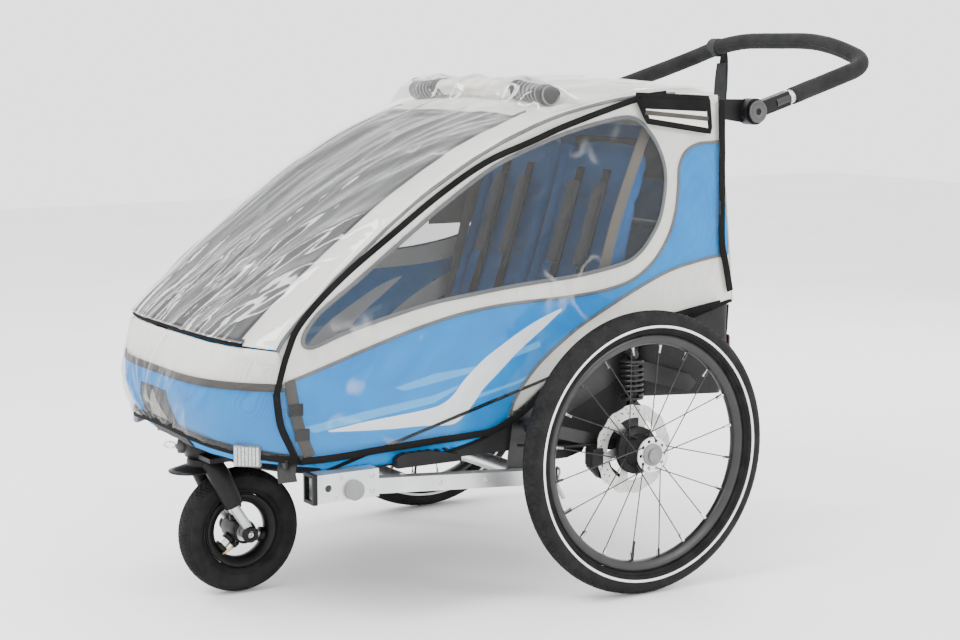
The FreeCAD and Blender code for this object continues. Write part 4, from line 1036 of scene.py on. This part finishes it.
def nose_film_lift(u, x, p):
    """Pleats that fan out from the middle of the lower hem."""
    dx, dz = p[0] + 0.02, p[2] - 0.262
    r, turn = math.hypot(dx, dz), math.atan2(dx, dz)
    fan = 1 - abs(noise.noise(Vector((turn * 3.6, r * 3.0, 5.0)))) * 3.2
    fine_ = 1 - abs(noise.noise(Vector((turn * 8.5, r * 5.0, 2.0)))) * 3.0
    b = fold((p[0], p[2], 0), 0.060, 0.0016, math.radians(60), 0.3)
    a = (0.0045 * fan + 0.0018 * fine_) * math.exp(-r / 0.22)
    return max(-0.0035, min(0.008, a + b))


def hem_u(x):
    return 0.23 + 0.13 * (1 - (x / HALF) ** 2)


def vent_place(y, z):
    return (HALF + 0.0085, y, z)


def flank_film(y, z):
    d = 0.0020 * fold((y, z, 0), 0.11, 1.0, math.radians(35), 0.22)
    return (HALF + 0.0055 + max(-0.003, min(0.004, d)), y, z)


front_film = skin("rain_front", TOP, 0.0, 0.985, -HALF - 0.003, HALF + 0.003, CLEAR_FRONT,
                  off=0.006, rows=230, cols=170, lift=film_lift, thick=0)
soft(front_film, "rain_cover", slot="clear_film", flat=(0.60, 1.20))
nose_film = skin("rain_nose", NOSE, hem_u, 1.0, -HALF - 0.003, HALF + 0.003, CLEAR_NOSE,
                 off=0.0055, rows=70, cols=170, lift=nose_film_lift, thick=0)
soft(nose_film, slot="clear_film", flat=(0.62, 0.23))
UPPER = [(-0.590, 0.400), (-0.588, 0.440), (-0.586, 0.466)] + [(p[0] - 0.001, p[1] - 0.001)
                                                              for p in TOP[1:-1]]
film_out = (curve_pts(UPPER, 3) + [(0.296, 0.862), (0.306, 0.600), (0.306, 0.486)]
            + curve_pts(COVER_HEM, 4)[::-1] + [(-0.556, 0.300), (-0.575, 0.350)])
for s, side in SIDES:
    side_film = fill("rain_side", film_out, CLEAR, flank_film, step=0.009)
    hem = [flank_film(*p) for p in curve_pts(COVER_HEM, 8)]
    seam = [(x + 0.001, y, z) for x, y, z in
            (flank_film(*p) for p in curve_pts(COVER_SEAM, 8))]
    tail = [(HALF + 0.006, y, z) for y, z in
            mm([(302, 855), (305, 780), (307, 700), (309, 601), (318, 560), (330, 507)])]
    corner_ = [(HALF + 0.004 - 0.0005 * i, y, z) for i, (y, z) in
               enumerate(curve_pts(mm([(-588, 402), (-580, 350), (-562, 312), (-548, 287)]), 6))]
    pieces = [side_film, flat_on("rain_hem", hem, 0.012, 0.0024, BINDING, (1, 0, 0)),
              flat_on("rain_seam", seam, 0.011, 0.0024, BINDING, (1, 0, 0)),
              flat_on("rain_tail", curve_pts(tail, 8), 0.014, 0.0022, BINDING, (1, 0, 0)),
              flat_on("rain_corner", corner_, 0.012, 0.0022, BINDING, (0.8, -0.6, 0))]
    vent = mm([(112, 866), (269, 858), (275, 800), (137, 821)])
    flap = fill("vent_flap", vent, CREAM, vent_place, step=0.006)
    pieces.append(thicken(flap, 0.0012, 1.0))
    loop_ = [vent_place(*p) for p in curve_pts(vent, 1, closed=True)]
    dense = [p for a, b in zip(loop_, loop_[1:] + loop_[:1]) for p in even_steps(a, b, 10)]
    pieces.append(flat_on("vent_binding", dense, 0.011, 0.0030, BINDING, (1, 0, 0), closed=True))
    for word, width, mat, ends in (("band", 0.020, BINDING, ((119, 853), (266, 845))),
                                   ("strip", 0.008, TAUPE, ((130, 836), (270, 822)))):
        line_ = [vent_place(*p) for p in mm(ends)]
        line_ = [tuple(a + (b - a) * t / 8 + (0.0012 if k == 0 else 0)
                       for k, (a, b) in enumerate(zip(*line_))) for t in range(9)]
        pieces.append(flat_on("vent_" + word, line_, width, 0.0016, mat, (1, 0, 0)))
    for ob in pieces:
        kind = ob.name
        ob = on_side(ob, s, kind)
        if kind == "rain_side":
            soft(ob, slot="clear_film", flat=(0.92, 0.60), cut=cut_area(film_out))
        else:
            soft(ob)
bottom = [skin_at(NOSE, hem_u(x), x, 0.0065) for x in
          (-HALF + 0.57 * i / 90 for i in range(91))]
soft(flat_on("rain_front_hem", bottom, 0.015, 0.0026, BINDING, lambda i, p: (0, -1, 0.2)))

# ------------------------------------------------------------------ rear wheels


def tyre_profile(r_tread, r_seat, half, k=26):
    """Closed tyre outline as (along axle, radius)."""
    out = []
    mid = (r_tread + r_seat) / 2
    for i in range(k):
        a = math.pi * (-0.14 + 1.28 * i / (k - 1))
        c, s = math.cos(a), math.sin(a)
        out.append((half * math.copysign(abs(c) ** 0.9, c),
                    mid + (r_tread - mid) * (math.copysign(abs(s) ** 0.85, s))))
    out[0] = (half * 0.55, r_seat)
    out[-1] = (-half * 0.55, r_seat)
    return out


def bead(name, x, r, size, centre, steps):
    """Thin raised ring on a tyre's side."""
    line = [(x + a, r + b) for a, b in circle(size, 6)]
    return lathe(name, line, RUBBER, centre, steps)


def tread(r_tread, blocks, depth, profile):
    """Cuts grooves between rows of blocks; returns the change of radius."""
    def shape(a, j):
        u, r = profile[j]
        rise = (r - (r_tread - 0.012)) / 0.012
        if rise < 0.15:
            return 0.0
        lane = int(round(abs(u) / 0.0052))
        phase = a * blocks / (2 * math.pi) + 0.5 * (lane % 2) + 0.15 * u / 0.005
        groove = abs(phase - math.floor(phase) - 0.5) > 0.36
        ring = abs(abs(u) / 0.0052 % 1 - 0.5) > 0.42 and abs(u) > 0.002
        return -depth if groove or ring else 0.0
    return shape


for s, side in SIDES:
    body = "wheel_" + side
    cx = s * WHEEL_X
    prof = tyre_profile(TYRE_R, 0.2095, 0.0208, 44)
    tyre = lathe("tyre_cover_" + side, prof, RUBBER, (cx, *AXLE), 720,
                 shape=tread(TYRE_R, 96, 0.0022, prof))
    part(tyre, body, "tyre_" + side, slot="tyre_rubber")
    for t in (1, -1):
        strip = [(t * 0.0195, 0.2215), (t * 0.0212, 0.2222), (t * 0.0212, 0.2258),
                 (t * 0.0192, 0.2268), (t * 0.0180, 0.2240)]
        ring = lathe("tyre_stripe_%s_%d" % (side, t + 1), strip, SHINE_RING, (cx, *AXLE), 144)
        part(ring, body)
        for r, w in ((0.2330, 0.0007), (0.2160, 0.0006), (0.2130, 0.0006)):
            x = t * 0.0200 if r > 0.215 else t * 0.0165
            part(bead("tyre_bead_%s_%d_%d" % (side, t + 1, int(r * 1e4)), x, r, w,
                      (cx, *AXLE), 120), body)
    rim = mm([(-12.5, 209.2), (-12.5, 201), (-10.5, 198.5), (-8.5, 194.5), (-5, 191.5),
              (0, 191.1), (5, 191.5), (8.5, 194.5), (10.5, 198.5), (12.5, 201), (12.5, 209.2),
              (11.2, 209.2), (10.6, 203), (0, 200.5), (-10.6, 203), (-11.2, 209.2)])
    part(lathe("rim_band_" + side, rim, POWDER, (cx, *AXLE), 180), body, "rim_" + side,
         slot="black_metal")
    nips = []
    for k in range(20):
        a = math.radians(18 * k + 9)
        base = Vector((cx, AXLE[0] + 0.1905 * math.cos(a), AXLE[1] + 0.1905 * math.sin(a)))
        way = Vector((0, -math.cos(a), -math.sin(a)))
        path = [base, base + way * 0.002, base + way * 0.003, base + way * 0.015]
        nips.append(sweep("nip", path, circle(0.0024, 6), NICKEL, up=(1, 0, 0),
                          scale=lambda t: 1.35 if t < 0.5 else 1.0))
    valve_a = math.radians(262)
    way = Vector((0, -math.cos(valve_a), -math.sin(valve_a)))
    base = Vector((cx, AXLE[0] + 0.191 * math.cos(valve_a), AXLE[1] + 0.191 * math.sin(valve_a)))
    nips.append(sweep("valve", [base + way * t for t in (0, 0.012, 0.014, 0.034)],
                      circle(0.0030, 12), BLACK, up=(1, 0, 0),
                      scale=lambda t: 1.0 if t < 0.5 else 0.8))
    part(joined("nipples_" + side, nips), body)
    # hub: black drum inside, silver flanges, a ring of ten holes and a stepped cap
    drum = mm([(-33, 7.5), (-33, 40), (-31.5, 42), (-22.5, 42), (-21.2, 40), (-21.2, 30),
               (-19, 29), (-16, 29), (-15.5, 18), (16.5, 17.2), (18, 18.5), (18, 7.5)])
    drum = [(s * x, r) for x, r in drum]
    part(lathe("hub_shell_" + side, drum, BLACK, (cx, *AXLE), 96), body, "hub_" + side,
         slot="black_plastic")
    holes = [[(y + a, z + b) for a, b in circle(0.0033, 14)] for y, z in circle(0.0245, 10)]
    face = fill("hub_face_" + side, circle(0.031, 90), ALLOY_X,
                lambda y, z: (cx + s * 0.0182, AXLE[0] + y, AXLE[1] + z), holes, 0.0045)
    face = thicken(face, 0.0026, 1.0 if s > 0 else -1.0)
    shade(face, False)
    part(face, body)
    cap = mm([(20.5, 7.5), (20.5, 18.5), (21.8, 19.5), (23.2, 19.5), (24, 18), (24, 15),
              (25, 14.5), (25, 7.5)])
    part(lathe("hub_cap_" + side, [(s * x, r) for x, r in cap], GREY, (cx, *AXLE), 72), body)
    # brake rotor: wavy edge, long windows and small vents
    rx = s * ROTOR_X
    edge = []
    for a in around(288):
        r = 0.0788 + 0.0012 * math.tanh(2.5 * math.sin(12 * a))
        edge.append((r * math.cos(a), r * math.sin(a)))
    holes = [circle(0.021, 40)]
    for k in range(6):
        a0 = math.radians(60 * k + 8)
        win = [(r, a0 + t) for r, t in
               [(0.031, 0.05 + 0.12 * q) for q in range(6)]
               + [(0.056, 0.90 - 0.12 * q) for q in range(7)]]
        holes.append([(r * math.cos(t), r * math.sin(t)) for r, t in win])
    for k in range(36):
        a = math.radians(10 * k)
        for r, size in ((0.0625 + 0.0035 * (k % 3), 0.0017), (0.0740 - 0.002 * (k % 2), 0.0013)):
            c = a + (0.045 if size < 0.0015 else 0)
            holes.append([(r * math.cos(c) + u, r * math.sin(c) + v)
                          for u, v in circle(size, 8)])
    disc = fill("brake_disc_" + side, edge, STEEL,
                lambda y, z: (rx - 0.0009, AXLE[0] + y, AXLE[1] + z), holes, 0.007)
    disc = thicken(disc, 0.0018, 1.0)
    shade(disc, False)
    part(disc, body, "rotor_" + side, slot="steel")

# ------------------------------------------------------------------ front wheel and fork

FW = (0.0, -0.528, 0.111)       # centre of the front wheel
SWIVEL = -0.588                 # y of the swivel axis
prof = tyre_profile(FRONT_R, 0.0665, 0.0245, 40)
part(lathe("front_tyre_cover", prof, RUBBER, FW, 480,
           shape=tread(FRONT_R, 54, 0.0026, prof)), "front_wheel", "front_tyre",
     slot="tyre_rubber")
for t in (1, -1):
    for r in (0.074, 0.080, 0.0945):
        x = t * (0.0222 if r < 0.09 else 0.0228)
        part(bead("front_bead_%d_%d" % (t + 1, int(r * 1e4)), x, r, 0.0007, FW, 90),
             "front_wheel")
rim = mm([(-15.5, 66), (-17, 64), (-15.5, 60), (-12, 55), (-6, 49), (6, 49), (12, 55),
          (15.5, 60), (17, 64), (15.5, 66), (10, 63), (-10, 63)])
part(lathe("front_rim_shell", rim, BLACK, FW, 120), "front_wheel", "front_rim",
     slot="black_plastic")
valve = [Vector((0.006, -0.566, 0.069)), Vector((0.010, -0.556, 0.076)),
         Vector((0.013, -0.548, 0.0815)), Vector((0.014, -0.544, 0.084))]
part(tube_on("front_valve", valve, 0.0026, BRASS, 12), "front_wheel")
part(tube_on("front_valve_cap", [valve[3], valve[3] + Vector((0.001, 0.004, 0.0035)),
                                 valve[3] + Vector((0.002, 0.008, 0.007))], 0.0038, BLACK, 12),
     "front_wheel")

crown = mm([(224.3, 9.2), (224.3, 28), (226.2, 31.8), (232, 32.6), (244, 32), (247.8, 30),
            (248.2, 9.2)])
part(lathe("fork_crown", [(z - 0.236, r) for z, r in crown], BLACK, (0, SWIVEL, 0.236), 72,
           axis="z"), "caster", "swivel_fork", slot="black_plastic")
verts = []
for i in range(49):
    a = math.pi * (-0.62 + 1.24 * i / 48)
    reach = 0.0335 + 0.033 * max(0.0, math.cos(a)) ** 1.6
    for r, z in ((0.0300, 0.2380), (0.0330, 0.2345), (0.6 * reach + 0.0135, 0.2300),
                 (reach, 0.2268), (reach - 0.001, 0.2246), (0.6 * reach + 0.0115, 0.2262),
                 (0.0300, 0.2275)):
        verts.append((r * math.sin(a), SWIVEL - r * math.cos(a), z))
part(add("fork_visor", verts, quads(49, 7) + lids(49, 7), BLACK), "caster")
head = mm([(249.6, 8.5), (249.6, 33.5), (251, 35.5), (264, 36), (284, 34.5), (286, 32),
           (286, 8.5)])
part(lathe("wheel_head", [(z - 0.26, r) for z, r in head], BLACK, (0, SWIVEL, 0.26), 72,
           axis="z"), "chassis")
knob = [Vector((-0.0165, -0.6145, 0.2660)), Vector((-0.0215, -0.6225, 0.2660)),
        Vector((-0.0245, -0.6275, 0.2660)), Vector((-0.0255, -0.6290, 0.2660))]
part(sweep("head_knob", knob, circle(0.0130, 32), DARK_GREY,
           scale=lambda t: math.sqrt(max(0.08, 1 - max(0, t - 0.55) ** 2 * 4))), "chassis")
ring = [(-0.0320 - 0.0060 * math.cos(a), -0.6400 - 0.0080 * math.cos(a),
         0.2680 + 0.0050 * math.sin(a)) for a in around(28)]
part(tube_on("head_ring", ring, 0.0014, NICKEL, 8, closed=True), "chassis")
for s, side in SIDES:
    leg = [(s * 0.026, -0.590, 0.240), (s * 0.037, -0.586, 0.232), (s * 0.0415, -0.576, 0.212),
           (s * 0.0420, -0.562, 0.182), (s * 0.0420, -0.5545, 0.1655)]
    oval = [(1.28 * a, b) for a, b in circle(0.0136, 24)]
    part(sweep("fork_cover_" + side, curve_pts(leg, 8), oval, BLACK, up=(1, 0, 0),
               scale=lambda t: 1.0 + 0.10 * math.sin(math.pi * t)), "caster")
    end = mm([(44, 6.2), (44, 12), (45.5, 13.8), (52, 14.2), (54, 12.5), (54, 8), (52.8, 6.2)])
    part(lathe("fork_end_" + side, [(s * a, r) for a, r in end], BLACK, FW, 48),
         "caster")
    bolt = mm([(52, 0.1), (55.2, 2.4), (54.8, 4.8), (53, 5.6), (52, 5.6)])
    part(lathe("fork_bolt_" + side, [(s * a, r) for a, r in bolt], STEEL, FW, 6), "caster")
sleeve = mm([(-31, 17.2), (-31, 19.5), (-27, 21.2), (-8, 21.6), (8, 21.6), (27, 21.2),
             (31, 19.5), (31, 17.2)])
ends = [lathe("sleeve", sleeve, BLACK, FW, 48)]
for k in range(3):
    a = math.radians(100 + 120 * k)
    way = Vector((0, math.cos(a), math.sin(a)))
    for r0, r1, size in ((0.020, 0.0285, 0.0125), (0.0405, 0.0490, 0.0130)):
        path = [Vector(FW) + way * (r0 + (r1 - r0) * t) for t in (0, 0.25, 0.75, 1)]
        ends.append(sweep("socket", path, circle(size, 20), BLACK, up=(1, 0, 0)))
part(joined("front_spoke_sockets", ends), "front_wheel")

# ------------------------------------------------------------------ push bar

PIVOT = Vector((0, 0.376, 0.833))
BAR_RISE = math.radians(16.3)
ALONG = Vector((0, math.cos(BAR_RISE), math.sin(BAR_RISE)))
BAR_X = 0.2897                  # middle of the bar's straight ends


def rounded_path(points, bends):
    """Polyline with its inner corners turned into arcs."""
    pts = [Vector(p) for p in points]
    out = [pts[0]]
    for a, c, b, bend in zip(pts, pts[1:], pts[2:], bends):
        into, away = (c - a).normalized(), (b - c).normalized()
        turn = into.angle(away)
        reach = bend * math.tan(turn / 2)
        start, end = c - into * reach, c + away * reach
        hub = c + (away - into).normalized() * (bend / math.cos(turn / 2))
        u, v = start - hub, end - hub
        n = 14
        for i in range(n + 1):
            t = i / n
            w = math.sin((1 - t) * turn) * u + math.sin(t * turn) * v
            out.append(hub + w / math.sin(turn))
    out.append(pts[-1])
    dense = []
    for a, b in zip(out, out[1:]):
        n = max(1, int((b - a).length / 0.008))
        dense += [a + (b - a) * i / n for i in range(n)]
    return dense + [out[-1]]


def bar_line(start):
    half = [start, Vector((0.287, 0.663, 0.918)), Vector((0.1435, 0.675, 0.961))]
    whole = half + [Vector((-p.x, p.y, p.z)) for p in reversed(half)]
    return rounded_path(whole, (0.062, 0.54, 0.54, 0.062))


foam_start = PIVOT + Vector((BAR_X, 0, 0)) + ALONG * 0.096
line = bar_line(foam_start)
foam = sweep("grip_foam", line, circle(0.0158, 36), FOAM, up=(0, -0.3, 1))
for v in foam.data.vertices:
    n = noise.noise(v.co * 260) * 0.00022 + noise.noise(v.co * 40) * 0.0003
    v.co += v.normal * n
part(foam, "push_bar", "bar_foam", slot="foam")
seam_up = Vector((0, -0.30, 1)).normalized()
seam = []
for i, p in enumerate(line):
    way = (line[min(i + 1, len(line) - 1)] - line[max(i - 1, 0)]).normalized()
    out = way.cross(seam_up).normalized()
    seam.append(p + out * -0.0157)
part(tube_on("grip_seam", seam, 0.0008, BLACK, 6), "push_bar")
for s, side in SIDES:
    end = Vector((s * BAR_X, foam_start.y, foam_start.z))
    cuff = [end - ALONG * t for t in (0.010, 0.006, 0.002, 0.0)]
    part(tube_on("bar_ring_" + side, cuff, 0.0128, ALLOY, 28), "push_bar")
    # pivot disc with a raised rim and a pressed centre
    disc = mm([(0, 6), (1.6, 6), (1.6, 12), (0.4, 13.5), (0.4, 16), (1.8, 17.2), (1.8, 19.2),
               (0.6, 20), (-3.4, 20), (-3.4, 6)])
    part(lathe("pivot_face_" + side, [(s * x, r) for x, r in disc], DARK_GREY,
               (s * 0.3056, PIVOT.y, PIVOT.z), 72), "cap_" + side)

# wrist strap: a loop round the foam and a doubled hanging tail
loop_c = Vector((-0.1915, 0.673, 0.9475))
ring = [loop_c + Vector((0, a, b)) for a, b in circle(0.0182, 40)]
ob = flat_on("wrist_loop", ring, 0.025, 0.0020, WEBBING,
             lambda i, p: (0, p[1] - loop_c.y, p[2] - loop_c.z), closed=True)
part(ob, "push_bar", "wrist_strap", slot="webbing")
tail = mm([(-191.5, 690.5, 942), (-190.5, 692.5, 925), (-191, 689, 880), (-193.5, 686, 800),
           (-192.5, 687, 720), (-189, 683, 685), (-188, 680, 681.5), (-188, 677, 690),
           (-190, 677.5, 720), (-191, 680, 800), (-191.5, 684, 880), (-192, 686.5, 915)])
ob = flat_on("wrist_tail", curve_pts(tail, 12), 0.024, 0.0018, WEBBING,
             lambda i, p: (0.85 * min(1, (0.93 - p[2]) / 0.08), -0.55 - 0.45
                           * max(0, (p[2] - 0.85) / 0.08), 0.02))
part(ob, "push_bar")

# ------------------------------------------------------------------ small fittings

for s, side in SIDES:
    # side bumper: tapered block with a rounded nose and ribs
    ribs = []
    pts = mm([(-377, 258), (-377, 273), (-370, 279), (-358, 281.5), (-310, 281), (-252, 268),
              (-251, 258)])
    verts, k = [], len(pts)
    for i, x in enumerate((0.2862, 0.288, 0.301, 0.3034)):
        inset = 0.0015 if i in (0, 3) else 0
        cy, cz = -0.32, 0.268
        for y, z in pts:
            verts.append((s * x, y + (cy - y) * inset * 20 / 0.9, z + (cz - z) * inset * 60 / 0.9))
    faces = [(a, b, c, d) if s < 0 else (a, d, c, b) for a, b, c, d in quads(4, k)]
    faces += [list(range(k)), lids(4, k)[1]]
    ribs.append(soften(add("rib", verts, faces, BLACK, False), 0.0012, 2, 30))
    for k in range(6):
        y = -0.362 + 0.016 * k
        top = 0.2822 if y < -0.30 else 0.281
        ribs.append(block("rib", (s * 0.289, y, top - 0.003), (s * 0.3005, y + 0.006, top),
                          BLACK, 0.0008))
    part(joined("step_" + side, ribs), "chassis", "step_bumpers", slot="black_plastic")
    # front reflector: clear ribbed lens in a grey holder, and the red tail reflector
    turn = Matrix.Translation((s * 0.2275, -0.6115, 0.292)) @ Matrix.Rotation(
        math.radians(s * 50), 4, "Z")
    holder = block("lens_holder", (-0.023, -0.0060, -0.017), (0.023, 0.0035, 0.019), GREY, 0.003)
    lens = [block("lens", (-0.0205 + 0.0060 * q, -0.0085, -0.0145),
                  (-0.0155 + 0.0060 * q, -0.0035, 0.0165), CLEAR_LENS, 0.0014)
            for q in range(7)]
    ob = joined("front_reflector_" + side, [holder, *lens])
    ob.data.transform(turn)
    part(ob, "chassis", "reflectors", slot="reflector")
    back = block("tail_lens", (s * 0.262 - 0.0045, 0.3470, 0.372),
                 (s * 0.262 + 0.0045, 0.3535, 0.418), RED_LENS, 0.0018)
    base = block("tail_base", (s * 0.262 - 0.0065, 0.3450, 0.368),
                 (s * 0.262 + 0.0065, 0.3495, 0.422), BLACK, 0.0018)
    part(joined("tail_reflector_" + side, [back, base]), "chassis")
    # webbing tab and clip under the front corner
    tab = curve_pts([(s * 0.262, -0.552, 0.288), (s * 0.266, -0.560, 0.276),
                     (s * 0.268, -0.562, 0.262), (s * 0.269, -0.560, 0.250)], 6)
    soft(flat_on("corner_tab_" + side, tab, 0.034, 0.0018, WEBBING, (s * 0.6, -0.8, 0.2)))
    ob = block("corner_clip_" + side, (s * 0.262 - 0.013, -0.5665, 0.272),
               (s * 0.262 + 0.013, -0.5605, 0.290), BLACK, 0.002)
    soft(ob)
# screws and pin hole rim of the drawbar receiver, then the rail rivets
RX = 0.3165
bits = []
for y, z, r in ((-0.4310, 0.2560, 0.0045), (-0.4310, 0.2310, 0.0045), (-0.4880, 0.2600, 0.0030),
                (-0.4980, 0.2270, 0.0030)):
    dome = [(0.0, 0.0001), (0.0013, r * 0.3), (0.0012, r * 0.62), (0.0006, r), (-0.0004, r),
            (-0.0004, 0.0001)]
    bits.append(lathe("screw", dome, STEEL, (RX, y, z), 28))
eyelet = mm([(0, 6.4), (0.8, 6.6), (1, 7.4), (0.6, 8.6), (-0.4, 8.8), (-0.4, 6.4)])
bits.append(lathe("eyelet", eyelet, ALLOY_X, (RX, -0.511, 0.2435), 40))
part(joined("receiver_screws", bits), "chassis")
bits = []
for s in (1, -1):
    for y, z in ((-0.300, 0.2275), (-0.210, 0.2208)):
        dome = [(0.0, 0.0001), (0.0016, 0.002), (0.0010, 0.0045), (-0.0003, 0.005),
                (-0.0003, 0.0001)]
        bits.append(lathe("rivet", [(s * a, r) for a, r in dome], STEEL, (s * 0.3125, y, z), 20))
part(joined("rail_rivets", bits), "chassis")
# end caps of the frame rails
for s, side in SIDES:
    cap = block("rail_cap_" + side, (s * 0.2868, -0.0815, 0.1975),
                (s * 0.3132, -0.0620, 0.2250), BLACK, 0.003)
    part(cap, "chassis")

# ------------------------------------------------------------------ CAD nodes kept as they are

KEPT = {
    "floor_tub": RIPSTOP, "seat_deck": BLACK, "side_rail_left": ALLOY, "side_rail_right": ALLOY,
    "cross_tubes": ALLOY_X, "arm_bracket_left": POWDER, "arm_bracket_right": POWDER,
    "drawbar_receiver": ALLOY, "receiver_mouth": BLACK, "drawbar_button": GREY,
    "front_mount": BLACK, "fork_tubes": ALLOY, "front_spokes": ALLOY_X, "roof_frame": POWDER,
    "upright_frame": ALLOY_X, "handle_mounts": BLACK, "bar_tube": POWDER, "handle_arms": BLACK,
    "pivot_cap_left": BLACK, "pivot_cap_right": BLACK, "brake_pedal": BLACK, "tether_pin": STEEL,
}
for side in ("left", "right"):
    KEPT.update({"spokes_" + side: SPOKE, "axle_button_" + side: GREY, "arm_" + side: POWDER,
                 "shock_" + side: POWDER, "caliper_" + side: BLACK})
for name, mat in KEPT.items():
    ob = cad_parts[name]
    ob.data.materials.clear()
    ob.data.materials.append(mat)

# ------------------------------------------------------------------ floor, light and camera

floor_mat, nt, p = new_mat("floor_white")
p.inputs["Roughness"].default_value = 0.65
tint(nt, p, (0.86,) * 3, (0.90,) * 3, noise_of(nt, 2, 3))
verts = [(-8 + 0.4 * i, -8 + 0.4 * j, -0.0005) for i in range(41) for j in range(41)]
faces = [(a, d, c, b) for a, b, c, d in quads(41, 41, gap=1)]
floor = add("studio_floor", verts, faces, floor_mat)

world = bpy.data.worlds.new("studio")
bpy.context.scene.world = world
world.use_nodes = True
world.node_tree.nodes["Background"].inputs[0].default_value = (1.0, 1.0, 1.0, 1)
world.node_tree.nodes["Background"].inputs[1].default_value = 2.35


def area(name, place, aim, size, power, size_y=None):
    data = bpy.data.lights.new(name, "AREA")
    data.energy = power
    data.size = size
    if size_y:
        data.shape = "RECTANGLE"
        data.size_y = size_y
    ob = bpy.data.objects.new(name, data)
    ob.location = place
    ob.rotation_euler = (Vector(aim) - Vector(place)).to_track_quat("-Z", "Y").to_euler()
    bpy.context.scene.collection.objects.link(ob)


area("key", (0.6, -2.6, 3.0), (0, -0.1, 0.4), 1.2, 110)
area("side", (3.4, 0.9, 2.4), (0, 0, 0.5), 1.2, 60)
area("strip", (-1.8, -1.6, 2.6), (0, -0.2, 0.7), 0.35, 40, 1.8)
area("back", (-1.6, 2.8, 2.2), (0, 0.2, 0.6), 1.6, 50)

camera = bpy.data.cameras.new("camera")
camera.lens = 72.22
camera.sensor_width = 36
cam = bpy.data.objects.new("camera", camera)
cam.location = (3.0356, -1.894, 0.9538)
cam.rotation_euler = (math.radians(90 - 8.1395), 0, math.radians(58.4377))
bpy.context.scene.collection.objects.link(cam)
bpy.context.scene.camera = cam
